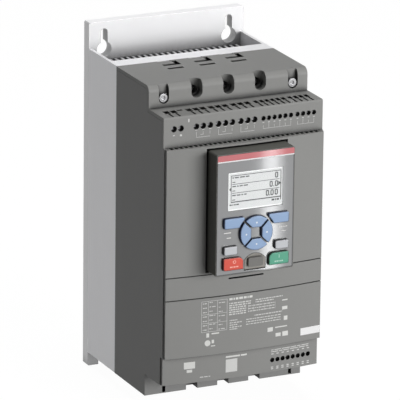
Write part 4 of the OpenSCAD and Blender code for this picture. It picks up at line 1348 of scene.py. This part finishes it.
@dataclass
class Studio:
    """Floor, soft light and the camera at the photograph's place, with places and sizes in metres."""

    eye: Triple = (-1.679, -3.6495, 1.2585)
    turn_deg: float = 25.21
    pitch_deg: float = 17.592
    roll_deg: float = 0.688
    lens_mm: float = 426.5
    sensor_mm: float = 36.0
    far: float = 200.0
    floor_half: float = 30.0
    floor_points: int = 9
    floor_tone: float = 0.325
    floor_glow: float = 1.21
    shadow: float = 0.2
    ambient: float = 0.035
    target: Triple = (0.0, -0.1, 0.0)
    key_place: Triple = (1.7, -3.4, 0.62)
    key_size: tuple[float, float] = (2.6, 1.4)
    key_level: float = 0.96
    top_place: Triple = (0.1, -0.1, 3.4)
    top_size: tuple[float, float] = (1.6, 1.6)
    top_level: float = 0.45
    card_place: Triple = (0.1488, -0.494, -0.055)
    card_ray: Triple = (-0.42, 0.86, 0.31)
    card_size: tuple[float, float] = (0.007, 0.2)
    card_radiance: tuple[float, ...] = (0.35, 2.5, 3.3, 1.5)

    def set_camera(self) -> None:
        """Makes the camera: turned about the upright, pitched down and rolled a little."""
        turn, pitch, roll = (math.radians(a) for a in (self.turn_deg, self.pitch_deg, self.roll_deg))
        run = math.cos(pitch)
        ahead = Vector((run * math.sin(turn), run * math.cos(turn), -math.sin(pitch)))
        level = Vector((math.cos(turn), -math.sin(turn), 0.0))
        right = level * math.cos(roll) + level.cross(ahead) * math.sin(roll)
        data = bpy.data.cameras.new("camera")
        data.lens = self.lens_mm
        data.sensor_width = self.sensor_mm
        data.clip_end = self.far
        camera = linked("camera", data)
        axes = Matrix((right, right.cross(ahead), -ahead)).transposed()
        camera.matrix_world = Matrix.Translation(self.eye) @ axes.to_4x4()
        bpy.context.scene.camera = camera

    def seen_share(self, shader: Shader, share: float) -> Sock:
        """Value that is the share for what the camera, metal and glass see, and zero for other light.

        Args:
            shader: Material or world under construction.
            share: Value for what is seen.

        Returns:
            The value.
        """
        path = shader.node("ShaderNodeLightPath", {}, {})
        rays = ("Is Camera Ray", "Is Glossy Ray", "Is Transmission Ray")
        camera, glossy, through = (Sock(shader, path.outputs[name]) for name in rays)
        return camera.top(glossy).top(through) * share

    def paint_floor(self) -> bpy.types.Material:
        """Makes the floor's material: pale, with a soft shadow, and clear from below.

        Returns:
            The material.
        """
        shader = Shader("floor_white")
        grey = (self.floor_tone, self.floor_tone, self.floor_tone, 1.0)
        matt = shader.out("ShaderNodeBsdfDiffuse", {}, {"Color": grey})
        glow = shader.out("ShaderNodeEmission", {}, {"Color": WHITE, "Strength": self.floor_glow})
        share = self.seen_share(shader, 1.0 - self.shadow)
        pale = shader.out("ShaderNodeMixShader", {}, {0: share, 1: matt, 2: glow})
        clear = shader.out("ShaderNodeBsdfTransparent", {}, {})
        below = shader.out("ShaderNodeNewGeometry", {}, {}, "Backfacing")
        return shader.close(shader.out("ShaderNodeMixShader", {}, {0: below, 1: pale, 2: clear}))

    def lay_floor(self) -> None:
        """Makes the floor: a wide flat grid at the object's foot, u along X and v along Y."""
        line = np.linspace(-self.floor_half, self.floor_half, self.floor_points)
        u, v = np.meshgrid(line, line, indexing="ij")
        points = np.stack((u, v, np.full_like(u, CAD_LOW.z)), axis=-1).reshape(-1, 3)
        floor = mesh_object("floor", points, grid_quads(np.arange(u.size).reshape(u.shape)))
        floor.data.materials.append(self.paint_floor())

    def light_world(self) -> None:
        """Makes the surroundings: white to look at, and an even low light on the object."""
        shader = Shader("surroundings", Owner.WORLD)
        strength = self.ambient + self.seen_share(shader, 1.0 - self.ambient)
        sky = shader.out("ShaderNodeBackground", {}, {"Color": WHITE, "Strength": strength})
        bpy.context.scene.world = shader.close(sky)

    def hang(self, name: str, place: Sequence[float], ray: Vector, size: Sequence[float],
             power: float) -> None:
        """Hangs a soft rectangular lamp that the camera doesn't see.

        Args:
            name: Name of the lamp.
            place: Where it hangs.
            ray: Direction in which it shines.
            size: Width and height.
            power: Power in watts.
        """
        data = bpy.data.lights.new(name, "AREA")
        data.shape = "RECTANGLE"
        data.size, data.size_y = size
        data.energy = power
        lamp = linked(name, data)
        lamp.location = place
        lamp.rotation_euler = ray.to_track_quat("-Z", "Y").to_euler()
        lamp.visible_camera = False

    def hang_lamp(self, name: str, place: Sequence[float], size: Sequence[float], level: float) -> None:
        """Hangs a lamp whose power is its level at the target times pi squared times distance squared."""
        ray = Vector(self.target) - Vector(place)
        self.hang(name, place, ray, size, level * math.pi ** 2 * ray.length_squared)

    def hang_cards(self) -> None:
        """Hangs narrow upright lamps side by side, whose reflection is a bright band on the keypad's film.

        A card's power is pi times its area times its radiance, so that a mirror shows the radiance.
        """
        wide, tall = self.card_size
        for number, radiance in enumerate(self.card_radiance):
            place = Vector(self.card_place) + Vector((wide * number, 0.0, 0.0))
            power = math.pi * wide * tall * radiance
            self.hang(f"card_{number}", place, Vector(self.card_ray), self.card_size, power)

    def build(self) -> None:
        """Sets up the whole studio."""
        bpy.context.scene.view_settings.view_transform = "Standard"
        self.set_camera()
        self.lay_floor()
        self.light_world()
        self.hang_lamp("key_lamp", self.key_place, self.key_size, self.key_level)
        self.hang_lamp("top_lamp", self.top_place, self.top_size, self.top_level)
        self.hang_cards()


def main() -> None:
    """Builds and dresses the sub-assemblies in order."""
    logging.basicConfig(level=logging.INFO, format="%(name)s: %(message)s")
    for group in (Studio(), MountingFrame(), Housing(), Terminals(), PowerStage(), Keypad()):
        group.build()


if __name__ == "__main__":
    main()
